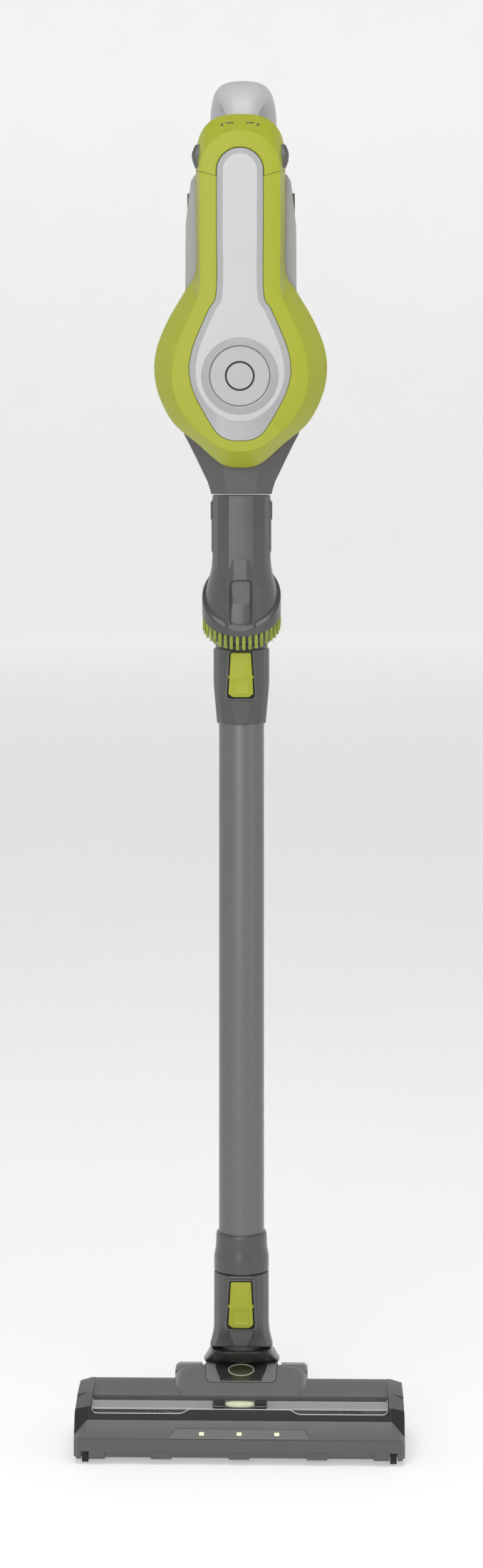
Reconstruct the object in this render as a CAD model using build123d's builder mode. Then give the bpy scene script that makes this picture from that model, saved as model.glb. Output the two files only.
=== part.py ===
"""Cordless stick vacuum, one solid for each separate piece.

Frame: millimetres, +X to the right, +Y to the back (the user's side), +Z up.
The origin is on the floor, under the axis of the wand.
"""

import os
from math import atan2, cos, radians, sin, sqrt

from build123d import *

os.makedirs("parts", exist_ok=True)

# ---- driving dimensions -------------------------------------------------------------------
WALL = 2.2              # moulded wall
GAP = 0.3               # between pieces that move past each other
FIT = 0.05              # between pieces that are fixed together

HEAD_HALF = 127.6       # floor head, half width
HEAD_FRONT = -87.0
HEAD_REAR = 4.0
HEAD_BOTTOM = 5.5       # ground clearance of the sole
HEAD_SEAM = 20.0        # parting line of base and cover
ROLL_Y, ROLL_Z = -56.0, 19.0
ROLL_CORE_R = 11.0
BRISTLE_R = 18.0
CHAMBER_R = 18.7
CHAMBER_HALF = 116.8
WINDOW_R = 20.6
WINDOW_HALF = 115.4
MOTOR_Y, MOTOR_Z = -22.0, 22.0     # roller motor
ROLLER_PULLEY_R, MOTOR_PULLEY_R = 9.0, 6.0
BELT_X = -120.5
FRONT_WHEEL_R, FRONT_WHEEL_X, FRONT_WHEEL_Y = 7.0, 118.8, -79.5
REAR_WHEEL_R, REAR_WHEEL_X, REAR_WHEEL_Y = 15.0, 50.0, 24.0
POD_HALF, POD_REAR = 60.0, 40.0
BONNET_HALF, BONNET_FRONT, BONNET_TOP = 53.0, -43.0, 50.0
NOTCH_HALF = 31.5       # opening in the head that the neck swings in
PIVOT_Y, PIVOT_Z = 14.0, 42.0      # neck pitch axis
DRUM_R, DRUM_HALF, TRUNNION_R = 19.5, 29.0, 3.5

SWIVEL_Z = 66.0         # the neck socket turns on the yoke above this height
SOCKET_TOP = 127.0
SOCKET_X, SOCKET_Y = 21.7, 21.5    # half sizes of the neck socket's section
SLEEVE_TOP = 158.0      # upper rim of the wand's lower collar
TUBE_R, TUBE_WALL = 18.0, 1.2
TUBE_BOTTOM, TUBE_TOP = 91.0, 588.0
COLLAR_BOTTOM, COLLAR_TOP = 563.5, 623.6
COLLAR_HALF, COLLAR_FOOT = 22.2, 19.6

NOZZLE_R, NOZZLE_BORE, NOZZLE_BOTTOM = 18.8, 15.5, 590.0
INLET_Z = 746.0         # joint of nozzle sleeve and inlet funnel
SKIRT_R = 31.5
RIM_Z, RIM_SLOPE = 652.0, 0.571    # dusting brush rim on the axis, and its rise per mm to the back
TUFTS = 38

FACE_Y = -57.0          # front face of the shield
EDGE_Y = -33.0          # where the shield is widest
SHIELD_BACK = -28.0
CHASSIS_BACK = -25.0
SEAM_Z = 996.0          # parting line of battery cap and shield
BIN_Z, BIN_R = 844.5, 62.0
BIN_FRONT, BIN_REAR = -24.5, 66.0
LID_REAR = 75.0
BOSS_Z = 838.6          # centre of the round boss on the trim plate
FAN_Y = 27.0            # axis of the suction motor


def save(piece, name):
    """Labels a finished piece and writes its STEP file."""
    piece.part.label = name
    export_step(piece.part, f"parts/{name}.step")


def side_plane(x):
    """A side-view sketch plane at that X: local x is Y, local y is Z."""
    return Plane.YZ.offset(x)


def front_plane(y):
    """A front-view sketch plane at that Y, facing the front: local y is Z."""
    return Plane(origin=(0, y, 0), x_dir=(1, 0, 0), z_dir=(0, -1, 0))


def block(x0, x1, y0, y1, z0, z1, mode=Mode.ADD):
    """A box between those limits in the running part."""
    with Locations(((x0 + x1) / 2, (y0 + y1) / 2, (z0 + z1) / 2)):
        Box(x1 - x0, y1 - y0, z1 - z0, mode=mode)


def rod_x(x0, x1, y, z, radius, mode=Mode.ADD):
    """A cylinder along X."""
    with BuildSketch(side_plane(x0)) as disc:
        with Locations((y, z)):
            Circle(radius)
    extrude(disc.sketch, amount=x1 - x0, mode=mode)


def rod_y(y0, y1, x, z, radius, mode=Mode.ADD):
    """A cylinder along Y."""
    with BuildSketch(front_plane(y1)) as disc:
        with Locations((x, z)):
            Circle(radius)
    extrude(disc.sketch, amount=y1 - y0, mode=mode)


def rod_z(x, y, z0, z1, radius, mode=Mode.ADD):
    """A cylinder along Z."""
    with BuildSketch(Plane.XY.offset(z0)) as disc:
        with Locations((x, y)):
            Circle(radius)
    extrude(disc.sketch, amount=z1 - z0, mode=mode)


def turned(points, mode=Mode.ADD):
    """A solid turned about the wand's axis from points of radius and height."""
    with BuildSketch(Plane.XZ) as profile:
        with BuildLine():
            Polyline(*points, close=True)
        make_face()
    revolve(profile.sketch, axis=Axis.Z, mode=mode)


def side_prism(points, x0, x1, mode=Mode.ADD):
    """A side-view polygon extruded along X."""
    with BuildSketch(side_plane(x0)) as profile:
        with BuildLine():
            Polyline(*points, close=True)
        make_face()
    extrude(profile.sketch, amount=x1 - x0, mode=mode)


def front_prism(points, y0, y1, mode=Mode.ADD):
    """A front-view polygon extruded along Y."""
    with BuildSketch(front_plane(y1)) as profile:
        with BuildLine():
            Polyline(*points, close=True)
        make_face()
    extrude(profile.sketch, amount=y1 - y0, mode=mode)


# ================================ floor head ================================
head_plan = [
    (-HEAD_HALF + 3, HEAD_FRONT), (HEAD_HALF - 3, HEAD_FRONT), (HEAD_HALF, HEAD_FRONT + 4),
    (HEAD_HALF, HEAD_REAR - 9), (HEAD_HALF - 9, HEAD_REAR), (POD_HALF, HEAD_REAR),
    (POD_HALF, POD_REAR - 6), (POD_HALF - 6, POD_REAR), (NOTCH_HALF + 6, POD_REAR),
    (NOTCH_HALF, POD_REAR - 8),
]
mirrored_plan = [(-NOTCH_HALF, POD_REAR - 8), (-NOTCH_HALF - 6, POD_REAR), (-POD_HALF + 6, POD_REAR),
                 (-POD_HALF, POD_REAR - 6), (-POD_HALF, HEAD_REAR), (-HEAD_HALF + 9, HEAD_REAR),
                 (-HEAD_HALF, HEAD_REAR - 9), (-HEAD_HALF, HEAD_FRONT + 4)]
cover_profile = [
    (HEAD_FRONT, HEAD_SEAM + FIT), (HEAD_FRONT + 11, 30), (HEAD_FRONT + 17, 36.4),
    (-43, 36.8), (-38, 37.6), (-16, 40.6), (-5, 40), (HEAD_REAR, HEAD_SEAM + FIT),
]
screw_spots = [(-100, -28), (100, -28), (-40, -28), (40, -28), (-38, 34), (38, 34)]


def roll_cylinder(radius, half, mode):
    """A cylinder on the brush roll's axis."""
    rod_x(-half, half, ROLL_Y, ROLL_Z, radius, mode)


def head_cavities(low, high):
    """Cuts the hollows that base and cover share: motor space and belt space."""
    height = high - low
    middle = (low + high) / 2
    with Locations((0, -16.5, middle)):
        Box(2 * (HEAD_HALF - WALL) - 14, 33, height, mode=Mode.SUBTRACT)
    with Locations((BELT_X - 0.4, -39, middle)):
        Box(8.4, 62, height, mode=Mode.SUBTRACT)


with BuildPart() as head_base:
    with BuildSketch(Plane.XY.offset(HEAD_BOTTOM)):
        with BuildLine():
            Polyline(*head_plan, *mirrored_plan, close=True)
        make_face()
    extrude(amount=HEAD_SEAM - HEAD_BOTTOM)
    roll_cylinder(CHAMBER_R, CHAMBER_HALF, Mode.SUBTRACT)
    with Locations((0, ROLL_Y, HEAD_BOTTOM)):
        Box(220, 31, 12, mode=Mode.SUBTRACT)
    head_cavities(HEAD_BOTTOM + WALL, HEAD_SEAM + 1)
    block(-108, 108, -84.4, -78.4, 12.6, HEAD_SEAM + 1, Mode.SUBTRACT)
    with Locations((0, -33, 17)):
        Box(36, 12, 8, mode=Mode.SUBTRACT)
    # hollow pod around the neck, open to the back between the wheels
    with Locations((0, 24, 14)):
        Box(2 * NOTCH_HALF, 46, 30, mode=Mode.SUBTRACT)
    with Locations((0, -1, HEAD_SEAM)):
        Box(2 * NOTCH_HALF, 10, 12, mode=Mode.SUBTRACT)
    # cheeks that carry the drum's trunnions
    for side in (-1, 1):
        side_prism([(1, HEAD_BOTTOM), (1, 44), (8, 46.4), (15, 46.4), (22, 41.5), (27, 37.8), (27, HEAD_BOTTOM)],
                   side * 34.25 - 2.5, side * 34.25 + 2.5)
    rod_x(-40, 40, PIVOT_Y, PIVOT_Z, TRUNNION_R + 0.08, Mode.SUBTRACT)
    rod_x(116, 121, ROLL_Y, ROLL_Z, 3.06, Mode.SUBTRACT)
    # set-back lower lip, wheel housings at the front corners, and three small feet on the front lip
    side_prism([(HEAD_FRONT - 1, 5), (HEAD_FRONT - 1, 10.8), (HEAD_FRONT, 10.8), (HEAD_FRONT + 1.6, 8),
                (HEAD_FRONT + 1.6, 5)], -104, 104, Mode.SUBTRACT)
    for side in (-1, 1):
        with Locations((side * 114.5, -78.5, HEAD_BOTTOM - 0.6)):
            Box(22, 15, 1.2)
        x = side * FRONT_WHEEL_X
        block(x - 3.1, x + 3.1, HEAD_FRONT - 1, FRONT_WHEEL_Y + 8, 0, 10.4, Mode.SUBTRACT)
        block(x - 3.1, x + 3.1, HEAD_FRONT + 1, FRONT_WHEEL_Y + 8, 0, 16.2, Mode.SUBTRACT)
        with Locations((side * REAR_WHEEL_X, REAR_WHEEL_Y, 17)):
            Box(10.4, 33, 40, mode=Mode.SUBTRACT)
    for x in (-60, 0, 60):
        block(x - 8, x + 8, HEAD_FRONT + 0.6, HEAD_FRONT + 8.6, HEAD_BOTTOM - 1, HEAD_BOTTOM + 4)
    with BuildSketch(side_plane(-HEAD_HALF)):
        with Locations((FRONT_WHEEL_Y, FRONT_WHEEL_R)):
            Circle(1.52)
    extrude(amount=2 * HEAD_HALF - 1, mode=Mode.SUBTRACT)
    with BuildSketch(side_plane(-58.6)):
        with Locations((REAR_WHEEL_Y, REAR_WHEEL_R)):
            Circle(2.02)
    extrude(amount=117.2, mode=Mode.SUBTRACT)
    # slot for the squeegee and the screw holes
    with Locations((0, -36.6, HEAD_BOTTOM)):
        Box(214.2, 1.7, 2 * WALL + 2, mode=Mode.SUBTRACT)
    with BuildSketch(Plane.XY.offset(HEAD_BOTTOM)):
        with Locations(*screw_spots):
            Circle(2.6)
    extrude(amount=WALL, mode=Mode.SUBTRACT)
save(head_base, "head_base")

with BuildPart() as head_cover:
    with BuildSketch(side_plane(-HEAD_HALF)):
        with BuildLine():
            Polyline(*cover_profile, close=True)
        make_face()
    extrude(amount=2 * HEAD_HALF)
    rear_corners = head_cover.edges().filter_by(GeomType.LINE).filter_by(
        lambda e: abs(abs(e.center().X) - HEAD_HALF) < 0.1 and e.center().Y > -8 and e.center().Z < 39)
    chamfer(rear_corners, length=9)
    roll_cylinder(CHAMBER_R, CHAMBER_HALF, Mode.SUBTRACT)
    # the window's seat: lower at the front except in the middle
    with Locations((0, -56.7, 40)):
        Box(2 * WINDOW_HALF + 0.4, 27.4, 14, mode=Mode.SUBTRACT)
    for side in (-1, 1):
        with Locations((side * 81, -71.5, 41.4)):
            Box(69.2, 4.4, 14, mode=Mode.SUBTRACT)
    head_cavities(HEAD_SEAM - 1, 29.5)
    side_prism([(-84.4, 19), (-84.4, 20.1), (-78.4, 25.2), (-78.4, 19)], -108, 108, Mode.SUBTRACT)
    block(BELT_X - 4.6, BELT_X + 3.8, -70, -8, 19, 31, Mode.SUBTRACT)
    rod_x(116, 121, ROLL_Y, ROLL_Z, 3.06, Mode.SUBTRACT)
    with Locations((0, -24, 30)):
        Box(2 * (HEAD_HALF - WALL) - 14, 26, 12, mode=Mode.SUBTRACT)
    # notch for the bonnet
    with Locations((0, -19.5, 35)):
        Box(2 * BONNET_HALF + 0.4, 47.4, 40, mode=Mode.SUBTRACT)
    # recess of the headlight panel on the front slope
    with BuildSketch(Plane(origin=(0, HEAD_FRONT + 5.5, 25), x_dir=(1, 0, 0), z_dir=(0, -10, 11))):
        Trapezoid(109, 12.2, 68, align=(Align.CENTER, Align.CENTER))
    extrude(amount=-1.2, both=False, mode=Mode.SUBTRACT)
save(head_cover, "head_cover")

with BuildPart() as headlight_panel:
    with BuildSketch(Plane(origin=(0, HEAD_FRONT + 5.5, 25), x_dir=(1, 0, 0), z_dir=(0, -10, 11)).offset(-1.15)):
        Trapezoid(108.6, 11.8, 68)
    extrude(amount=0.75)
    with BuildSketch(Plane(origin=(0, HEAD_FRONT + 5.5, 25), x_dir=(1, 0, 0), z_dir=(0, -10, 11)).offset(-1.2)):
        with Locations((-29, -1), (0, -1), (29, -1)):
            Rectangle(4.0, 3.2)
    extrude(amount=2, mode=Mode.SUBTRACT)
save(headlight_panel, "headlight_panel")

with BuildPart() as headlight_leds:
    with BuildSketch(Plane(origin=(0, HEAD_FRONT + 5.5, 25), x_dir=(1, 0, 0), z_dir=(0, -10, 11)).offset(-1.1)):
        with Locations((-29, -1), (0, -1), (29, -1)):
            Rectangle(3.8, 3.0)
    extrude(amount=1.0)
save(headlight_leds, "headlight_leds")

with BuildPart() as head_window:
    with BuildSketch(side_plane(-WINDOW_HALF)):
        with Locations((ROLL_Y, ROLL_Z)):
            Circle(WINDOW_R)
            Circle(CHAMBER_R + 0.1, mode=Mode.SUBTRACT)
        with BuildLine():
            Polyline((ROLL_Y, ROLL_Z), (ROLL_Y - 30, ROLL_Z + 34.9), (ROLL_Y + 28, ROLL_Z + 37), close=True)
        make_face(mode=Mode.INTERSECT)
    extrude(amount=2 * WINDOW_HALF)
save(head_window, "head_window")

bonnet_profile = [(BONNET_FRONT, HEAD_SEAM + FIT), (BONNET_FRONT, 37.4), (-30, 42.8), (-6.3, BONNET_TOP),
                  (-6.3, HEAD_SEAM + FIT)]
shoulder_profile = [(-6.5, HEAD_SEAM + FIT), (-6.5, 47.5), (2, 49.5), (16, 48.5), (32, 38), (POD_REAR, 26),
                    (POD_REAR, HEAD_SEAM + FIT)]
with BuildPart() as head_bonnet:
    with BuildSketch(side_plane(-BONNET_HALF)):
        with BuildLine():
            Polyline(*bonnet_profile, close=True)
        make_face()
    extrude(amount=2 * BONNET_HALF)
    with BuildSketch(side_plane(-BONNET_HALF + WALL)):
        with BuildLine():
            Polyline((BONNET_FRONT + WALL, HEAD_SEAM - 1), (BONNET_FRONT + WALL, 35.4), (-30, 40.4),
                     (-6, BONNET_TOP - 2.4), (-6, HEAD_SEAM - 1), close=True)
        make_face()
    extrude(amount=2 * (BONNET_HALF - WALL), mode=Mode.SUBTRACT)
    for side in (-1, 1):
        start = NOTCH_HALF if side > 0 else -POD_HALF
        with BuildSketch(side_plane(start)):
            with BuildLine():
                Polyline(*shoulder_profile, close=True)
            make_face()
        extrude(amount=POD_HALF - NOTCH_HALF)
        with BuildSketch(side_plane(start + WALL)):
            with BuildLine():
                Polyline((-7, HEAD_SEAM - 1), (-7, 45.1), (2, 47.2), (15.4, 46.2), (30.6, 36.2),
                         (POD_REAR - WALL, 25.2), (POD_REAR - WALL, HEAD_SEAM - 1), close=True)
            make_face()
        extrude(amount=POD_HALF - NOTCH_HALF - 2 * WALL, mode=Mode.SUBTRACT)
        block(side * 55.8 - 5.0, side * 55.8 + 5.0, -6.5, POD_REAR - WALL, HEAD_SEAM + FIT, 33.4)
        block(side * 57.1 - 4.1, side * 57.1 + 4.1, -8, POD_REAR + 1, 33.4, 60, Mode.SUBTRACT)
        side_prism([(0.6, 19), (0.6, 45), (2, 46.9), (15.4, 46.8), (27.4, 38.3), (27.4, 19)],
                   side * 34.2 - 3, side * 34.2 + 3, Mode.SUBTRACT)
        block(side * 57.1 - 4, side * 57.1 + 4, -8, HEAD_REAR + FIT, 19, 60, Mode.SUBTRACT)
        rod_x(side * 50 - 5.6, side * 50 + 5.6, REAR_WHEEL_Y, REAR_WHEEL_R, REAR_WHEEL_R + 0.8, Mode.SUBTRACT)
    roll_cylinder(CHAMBER_R + 0.1, CHAMBER_HALF, Mode.SUBTRACT)
    with Locations((0, 0, 15)):
        Box(2 * NOTCH_HALF + 16, 60, 11, mode=Mode.SUBTRACT)
    # seat of the badge plate
    with BuildSketch(Plane(origin=(0, -18.2, 46.4), x_dir=(1, 0, 0), z_dir=(0, -7.2, 23.7))):
        RectangleRounded(60.4, 24.4, 5)
    extrude(amount=-1.0, mode=Mode.SUBTRACT)
save(head_bonnet, "head_bonnet")

with BuildPart() as badge_plate:
    with BuildSketch(Plane(origin=(0, -18.2, 46.4), x_dir=(1, 0, 0), z_dir=(0, -7.2, 23.7)).offset(-0.95)):
        RectangleRounded(60, 24, 4.8)
    extrude(amount=1.3)
save(badge_plate, "badge_plate")

with BuildPart() as suction_duct:
    side_prism([(-26.5, 13.2), (-26.5, 26), (-17, 38), (-7, 38), (-7, 22), (-17, 13.2)], -16, 16)
    side_prism([(-30, 15), (-30, 24.5), (-16, 36), (-6, 36), (-6, 24), (-17.6, 15)], -14.2, 14.2, Mode.SUBTRACT)
save(suction_duct, "suction_duct")

with BuildPart() as squeegee:
    block(-107, 107, -37.4, -35.8, 2.6, HEAD_BOTTOM + WALL)
save(squeegee, "squeegee")

with BuildPart() as head_screws:
    for x, y in screw_spots:
        rod_z(x, y, HEAD_BOTTOM + 0.6, HEAD_BOTTOM + 2.1, 2.5)
        block(x - 1.6, x + 1.6, y - 0.3, y + 0.3, HEAD_BOTTOM, HEAD_BOTTOM + 1.3, Mode.SUBTRACT)
save(head_screws, "head_screws")

with BuildPart() as roller_motor:
    rod_x(-112, -58, MOTOR_Y, MOTOR_Z, 9.6)
    rod_x(-115, -112, MOTOR_Y, MOTOR_Z, 4.0)
    rod_x(-58, -54, MOTOR_Y, MOTOR_Z, 5.0)
    rod_x(-116, -106, MOTOR_Y, MOTOR_Z, 1.56, Mode.SUBTRACT)
save(roller_motor, "roller_motor")

with BuildPart() as motor_pulley:
    rod_x(-123.4, -117.6, MOTOR_Y, MOTOR_Z, MOTOR_PULLEY_R)
    rod_x(-118, -107, MOTOR_Y, MOTOR_Z, 1.5)
save(motor_pulley, "motor_pulley")

with BuildPart() as drive_belt:
    span = sqrt((MOTOR_Y - ROLL_Y) ** 2 + (MOTOR_Z - ROLL_Z) ** 2)
    tilt = atan2(MOTOR_Z - ROLL_Z, MOTOR_Y - ROLL_Y)
    for grow, mode in ((1.7, Mode.ADD), (0.35, Mode.SUBTRACT)):
        big, small = ROLLER_PULLEY_R + grow, MOTOR_PULLEY_R + grow
        with BuildSketch(Plane((-123, ROLL_Y, ROLL_Z), (0, cos(tilt), sin(tilt)), (1, 0, 0))) as loop:
            Circle(big)
            with Locations((span, 0)):
                Circle(small)
            sine = (big - small) / span
            cosine = sqrt(1 - sine * sine)
            with BuildLine():
                Polyline((big * sine, big * cosine), (span + small * sine, small * cosine),
                         (span + small * sine, -small * cosine), (big * sine, -big * cosine), close=True)
            make_face()
        extrude(loop.sketch, amount=5, mode=mode)
save(drive_belt, "drive_belt")

with BuildPart() as brush_roll_core:
    rod_x(-115.6, 115.6, ROLL_Y, ROLL_Z, ROLL_CORE_R)
    rod_x(-123.4, -115.6, ROLL_Y, ROLL_Z, ROLLER_PULLEY_R)
    rod_x(115.6, 120.5, ROLL_Y, ROLL_Z, 3.0)
save(brush_roll_core, "brush_roll_core")

with BuildPart() as brush_roll_bristles:
    rod_x(-114.5, 114.5, ROLL_Y, ROLL_Z, BRISTLE_R)
    rod_x(-115, 115, ROLL_Y, ROLL_Z, ROLL_CORE_R + FIT, Mode.SUBTRACT)
save(brush_roll_bristles, "brush_roll_bristles")

for side, word in ((-1, "left"), (1, "right")):
    with BuildPart() as front_wheel:
        rod_x(side * FRONT_WHEEL_X - 2.4, side * FRONT_WHEEL_X + 2.4, FRONT_WHEEL_Y, FRONT_WHEEL_R, FRONT_WHEEL_R)
        rod_x(side * FRONT_WHEEL_X - 2.7, side * FRONT_WHEEL_X + 2.7, FRONT_WHEEL_Y, FRONT_WHEEL_R, 3)
        rod_x(side * FRONT_WHEEL_X - 4, side * FRONT_WHEEL_X + 4, FRONT_WHEEL_Y, FRONT_WHEEL_R, 1.56, Mode.SUBTRACT)
    save(front_wheel, f"front_wheel_{word}")
    with BuildPart() as rear_wheel:
        rod_x(side * REAR_WHEEL_X - 4.2, side * REAR_WHEEL_X + 4.2, REAR_WHEEL_Y, REAR_WHEEL_R, REAR_WHEEL_R)
        rod_x(side * REAR_WHEEL_X - 4.8, side * REAR_WHEEL_X + 4.8, REAR_WHEEL_Y, REAR_WHEEL_R, 5)
        rod_x(side * REAR_WHEEL_X - 6, side * REAR_WHEEL_X + 6, REAR_WHEEL_Y, REAR_WHEEL_R, 2.06, Mode.SUBTRACT)
    save(rear_wheel, f"rear_wheel_{word}")

with BuildPart() as wheel_axles:
    for side in (-1, 1):
        rod_x(side * 118.8 - 6, side * 118.8 + 6, FRONT_WHEEL_Y, FRONT_WHEEL_R, 1.5)
        rod_x(side * 50 - 8.4, side * 50 + 8.4, REAR_WHEEL_Y, REAR_WHEEL_R, 2.0)
save(wheel_axles, "wheel_axles")


# ================================ neck ================================
with BuildPart() as neck_yoke:
    rod_x(-DRUM_HALF, DRUM_HALF, PIVOT_Y, PIVOT_Z, DRUM_R)
    rod_x(-36.4, 36.4, PIVOT_Y, PIVOT_Z, TRUNNION_R)
    with BuildSketch(Plane.XY.offset(PIVOT_Z)) as throat:
        with Locations((0, 7.2)):
            RectangleRounded(46, 25, 12)
    extrude(throat.sketch, amount=SWIVEL_Z - 4 - PIVOT_Z)
    rod_z(0, 0, SWIVEL_Z - 6, SWIVEL_Z, 21.0)
    rod_z(0, 0, SWIVEL_Z - 0.1, SWIVEL_Z + 9, 17.0)
    for side in (-1, 1):
        block(side * 25.5 - 1.8, side * 25.5 + 1.8, -6, 14, 52, SWIVEL_Z - 4)
    rod_z(0, 0, PIVOT_Z, SWIVEL_Z + 10, 14.5, Mode.SUBTRACT)
    side_prism([(-10, 24), (-10, 40), (14, 56), (14, 30)], -14.4, 14.4, Mode.SUBTRACT)
save(neck_yoke, "neck_yoke")

neck_button_z, wand_button_z = 103.5, 601.7


def rocker(pivot_z, low, high):
    """A rocker button on the front of a sleeve: body, thumb pad and a pin along X."""
    with BuildPart() as piece:
        front_prism([(-9.7, low + 3), (-7, low), (7, low), (9.7, low + 3), (7.7, high), (-7.7, high)], -23.8, -20.6)
        front_prism([(-7, low + 2.4), (7, low + 2.4), (7, low + 15), (-7, low + 15)], -24.7, -23.7)
        rod_x(-10.6, 10.6, -21.9, pivot_z, 1.2)
    return piece


def rocker_seat(pivot_z, low, high):
    """Cuts the recess and pin slots for a rocker button in the running part."""
    front_prism([(-10.2, low - 0.6), (10.2, low - 0.6), (10.2, low + 14), (8.3, high + 0.5), (-8.3, high + 0.5),
                 (-10.2, low + 14)], -30, -19.4, Mode.SUBTRACT)
    rod_x(-11, 11, -21.9, pivot_z, 1.35, Mode.SUBTRACT)


with BuildPart() as neck_socket:
    with BuildSketch(Plane.XY.offset(SWIVEL_Z + GAP)):
        RectangleRounded(2 * SOCKET_X, 2 * SOCKET_Y, 17)
    extrude(amount=SOCKET_TOP - SWIVEL_Z - GAP)
    front_prism([(-15, 84), (15, 84), (14, 125.6), (-14, 125.6)], -24, -15)
    rod_z(0, 0, SWIVEL_Z - 1, 77, 17.3, Mode.SUBTRACT)
    rod_z(0, 0, 76, 90.6, 15.0, Mode.SUBTRACT)
    rod_z(0, 0, 90.6, SOCKET_TOP + 1, TUBE_R + 0.08, Mode.SUBTRACT)
    rocker_seat(neck_button_z, 87.1, 123.2)
    block(-5, 5, -21, -15, 112, 117, Mode.SUBTRACT)
save(neck_socket, "neck_socket")

neck_button = rocker(neck_button_z, 87.1, 123.2)
save(neck_button, "neck_button")

# ================================ wand ================================
with BuildPart() as wand_tube:
    rod_z(0, 0, TUBE_BOTTOM, TUBE_TOP, TUBE_R)
    rod_z(0, 0, TUBE_BOTTOM - 1, TUBE_TOP + 1, TUBE_R - TUBE_WALL, Mode.SUBTRACT)
save(wand_tube, "wand_tube")

with BuildPart() as wand_lower_collar:
    turned([(TUBE_R + FIT, SOCKET_TOP + GAP), (21.9, SOCKET_TOP + GAP), (21.9, 140), (20.6, 146), (20.2, 156),
            (19.2, SLEEVE_TOP), (TUBE_R + FIT, SLEEVE_TOP)])
save(wand_lower_collar, "wand_lower_collar")

with BuildPart() as wand_upper_collar:
    with BuildSketch(Plane.XY.offset(COLLAR_BOTTOM)) as foot:
        Circle(COLLAR_FOOT)
    with BuildSketch(Plane.XY.offset(COLLAR_BOTTOM + 24)) as waist:
        Circle(COLLAR_HALF)
    loft(sections=(foot.sketch.face(), waist.sketch.face()), ruled=True)
    rod_z(0, 0, COLLAR_BOTTOM + 24, COLLAR_TOP, COLLAR_HALF)
    rod_z(0, 0, COLLAR_TOP, COLLAR_TOP + 3.2, 20.8)
    front_prism([(-13, 580), (13, 580), (12.5, 587), (10.5, 622.6), (-10.5, 622.6), (-12.5, 587)], -24.4, -15)
    rod_z(0, 0, COLLAR_BOTTOM - 1, TUBE_TOP + 0.4, TUBE_R + FIT, Mode.SUBTRACT)
    rod_z(0, 0, TUBE_TOP, COLLAR_TOP + 5, NOZZLE_R + 0.08, Mode.SUBTRACT)
    rocker_seat(wand_button_z, 585.9, 621.4)
    block(-5, 5, -21, -17, 611, 616, Mode.SUBTRACT)
save(wand_upper_collar, "wand_upper_collar")

wand_button = rocker(wand_button_z, 585.9, 621.4)
save(wand_button, "wand_button")

# ================================ nozzle tool and dusting brush ================================
with BuildPart() as nozzle_sleeve:
    with BuildSketch(Plane.XY.offset(628)):
        RectangleRounded(46.3, 45, 20)
    extrude(amount=INLET_Z - 628)
    rod_z(0, 0, NOZZLE_BOTTOM, 629, NOZZLE_R)
    block(-10.5, 10.5, -23.8, -20, 695.5, 744)
    rod_z(0, 0, NOZZLE_BOTTOM - 1, 713, NOZZLE_BORE, Mode.SUBTRACT)
    rod_z(0, 0, 712, INLET_Z + 1, 17.2, Mode.SUBTRACT)
    for side in (-1, 1):
        block(side * 22 - 2.2, side * 22 + 2.2, -6.4, 6.4, 711.4, 742.4, Mode.SUBTRACT)
        rod_y(-8.5, 8.5, side * 21.8, 720, 0.9, Mode.SUBTRACT)
save(nozzle_sleeve, "nozzle_sleeve")

for side, word in ((-1, "left"), (1, "right")):
    with BuildPart() as tool_latch:
        block(side * 22.1 - 1.2, side * 22.1 + 1.2, -6, 6, 712.4, 741)
        block(side * 23.9 - 1.0, side * 23.9 + 1.0, -6, 6, 726, 741)
        rod_y(-8, 8, side * 21.8, 720, 0.8)
    save(tool_latch, f"tool_latch_{word}")


def rim_cut(lift, low, high):
    """Cuts away what is below the brush rim's slanted plane, or above it if low is above high."""
    side_prism([(-60, RIM_Z + lift - 60 * RIM_SLOPE), (60, RIM_Z + lift + 60 * RIM_SLOPE), (60, low), (-60, high)],
               -60, 60, Mode.SUBTRACT)


tuft_turns = [radians(4.74 + 360 / TUFTS * k) for k in range(TUFTS)]
tufts = [(29.8 * sin(t), -29.8 * cos(t), RIM_Z - RIM_SLOPE * 29.8 * cos(t)) for t in tuft_turns]

with BuildPart() as dusting_brush_collar:
    turned([(24.6, 600), (SKIRT_R, 600), (SKIRT_R, 656), (30.6, 664), (28.6, 676), (27, 690), (24.6, 694)])
    turned([(20, 599), (28.2, 599), (28.2, 660), (25.2, 672), (20, 672)], Mode.SUBTRACT)
    rim_cut(0, 580, 580)
    with BuildSketch(front_plane(-20)):
        with Locations((0, 662)):
            RectangleRounded(19.6, 30, 5)
    extrude(amount=20, mode=Mode.SUBTRACT)
    for x, y, rim in tufts:
        rod_z(x, y, rim - 6, rim + 5, 1.5, Mode.SUBTRACT)
save(dusting_brush_collar, "dusting_brush_collar")

with BuildPart() as dusting_brush_bristles:
    for x, y, rim in tufts:
        rod_z(x, y, rim - 11.4, rim + 4.8, 1.45)
save(dusting_brush_bristles, "dusting_brush_bristles")


# ================================ hand unit ================================
outer_half = [(0, 767.5), (15.1, 770), (54, 803.5), (68.2, 843.8), (57.5, 883), (35.3, 921)]
face_half = [(0, 779.8), (17.6, 783.5), (43.6, 808), (53.3, 838), (46.7, 869), (31.4, 906.5)]
trim_half = [(0, 787.9), (11.8, 789.6), (25.5, 806), (39.4, 838), (35.6, 864), (18.3, 904)]


def bulb_outline(y, half, neck_top, crown):
    """The shield's front view at that Y: a round bulb, a straight neck and an arched crown."""
    x, z = half[-1]
    with BuildSketch(front_plane(y)) as outline:
        with BuildLine():
            Spline(*half, tangents=((1, 0), (-0.3, 1)))
            Line((x, z), (x, neck_top))
            ThreePointArc((x, neck_top), (0, crown), (-x, neck_top))
            Line((-x, neck_top), (-x, z))
            Spline(*[(-px, pz) for px, pz in half], tangents=((-1, 0), (0.3, 1)))
        make_face()
    return outline.sketch.face()


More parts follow.
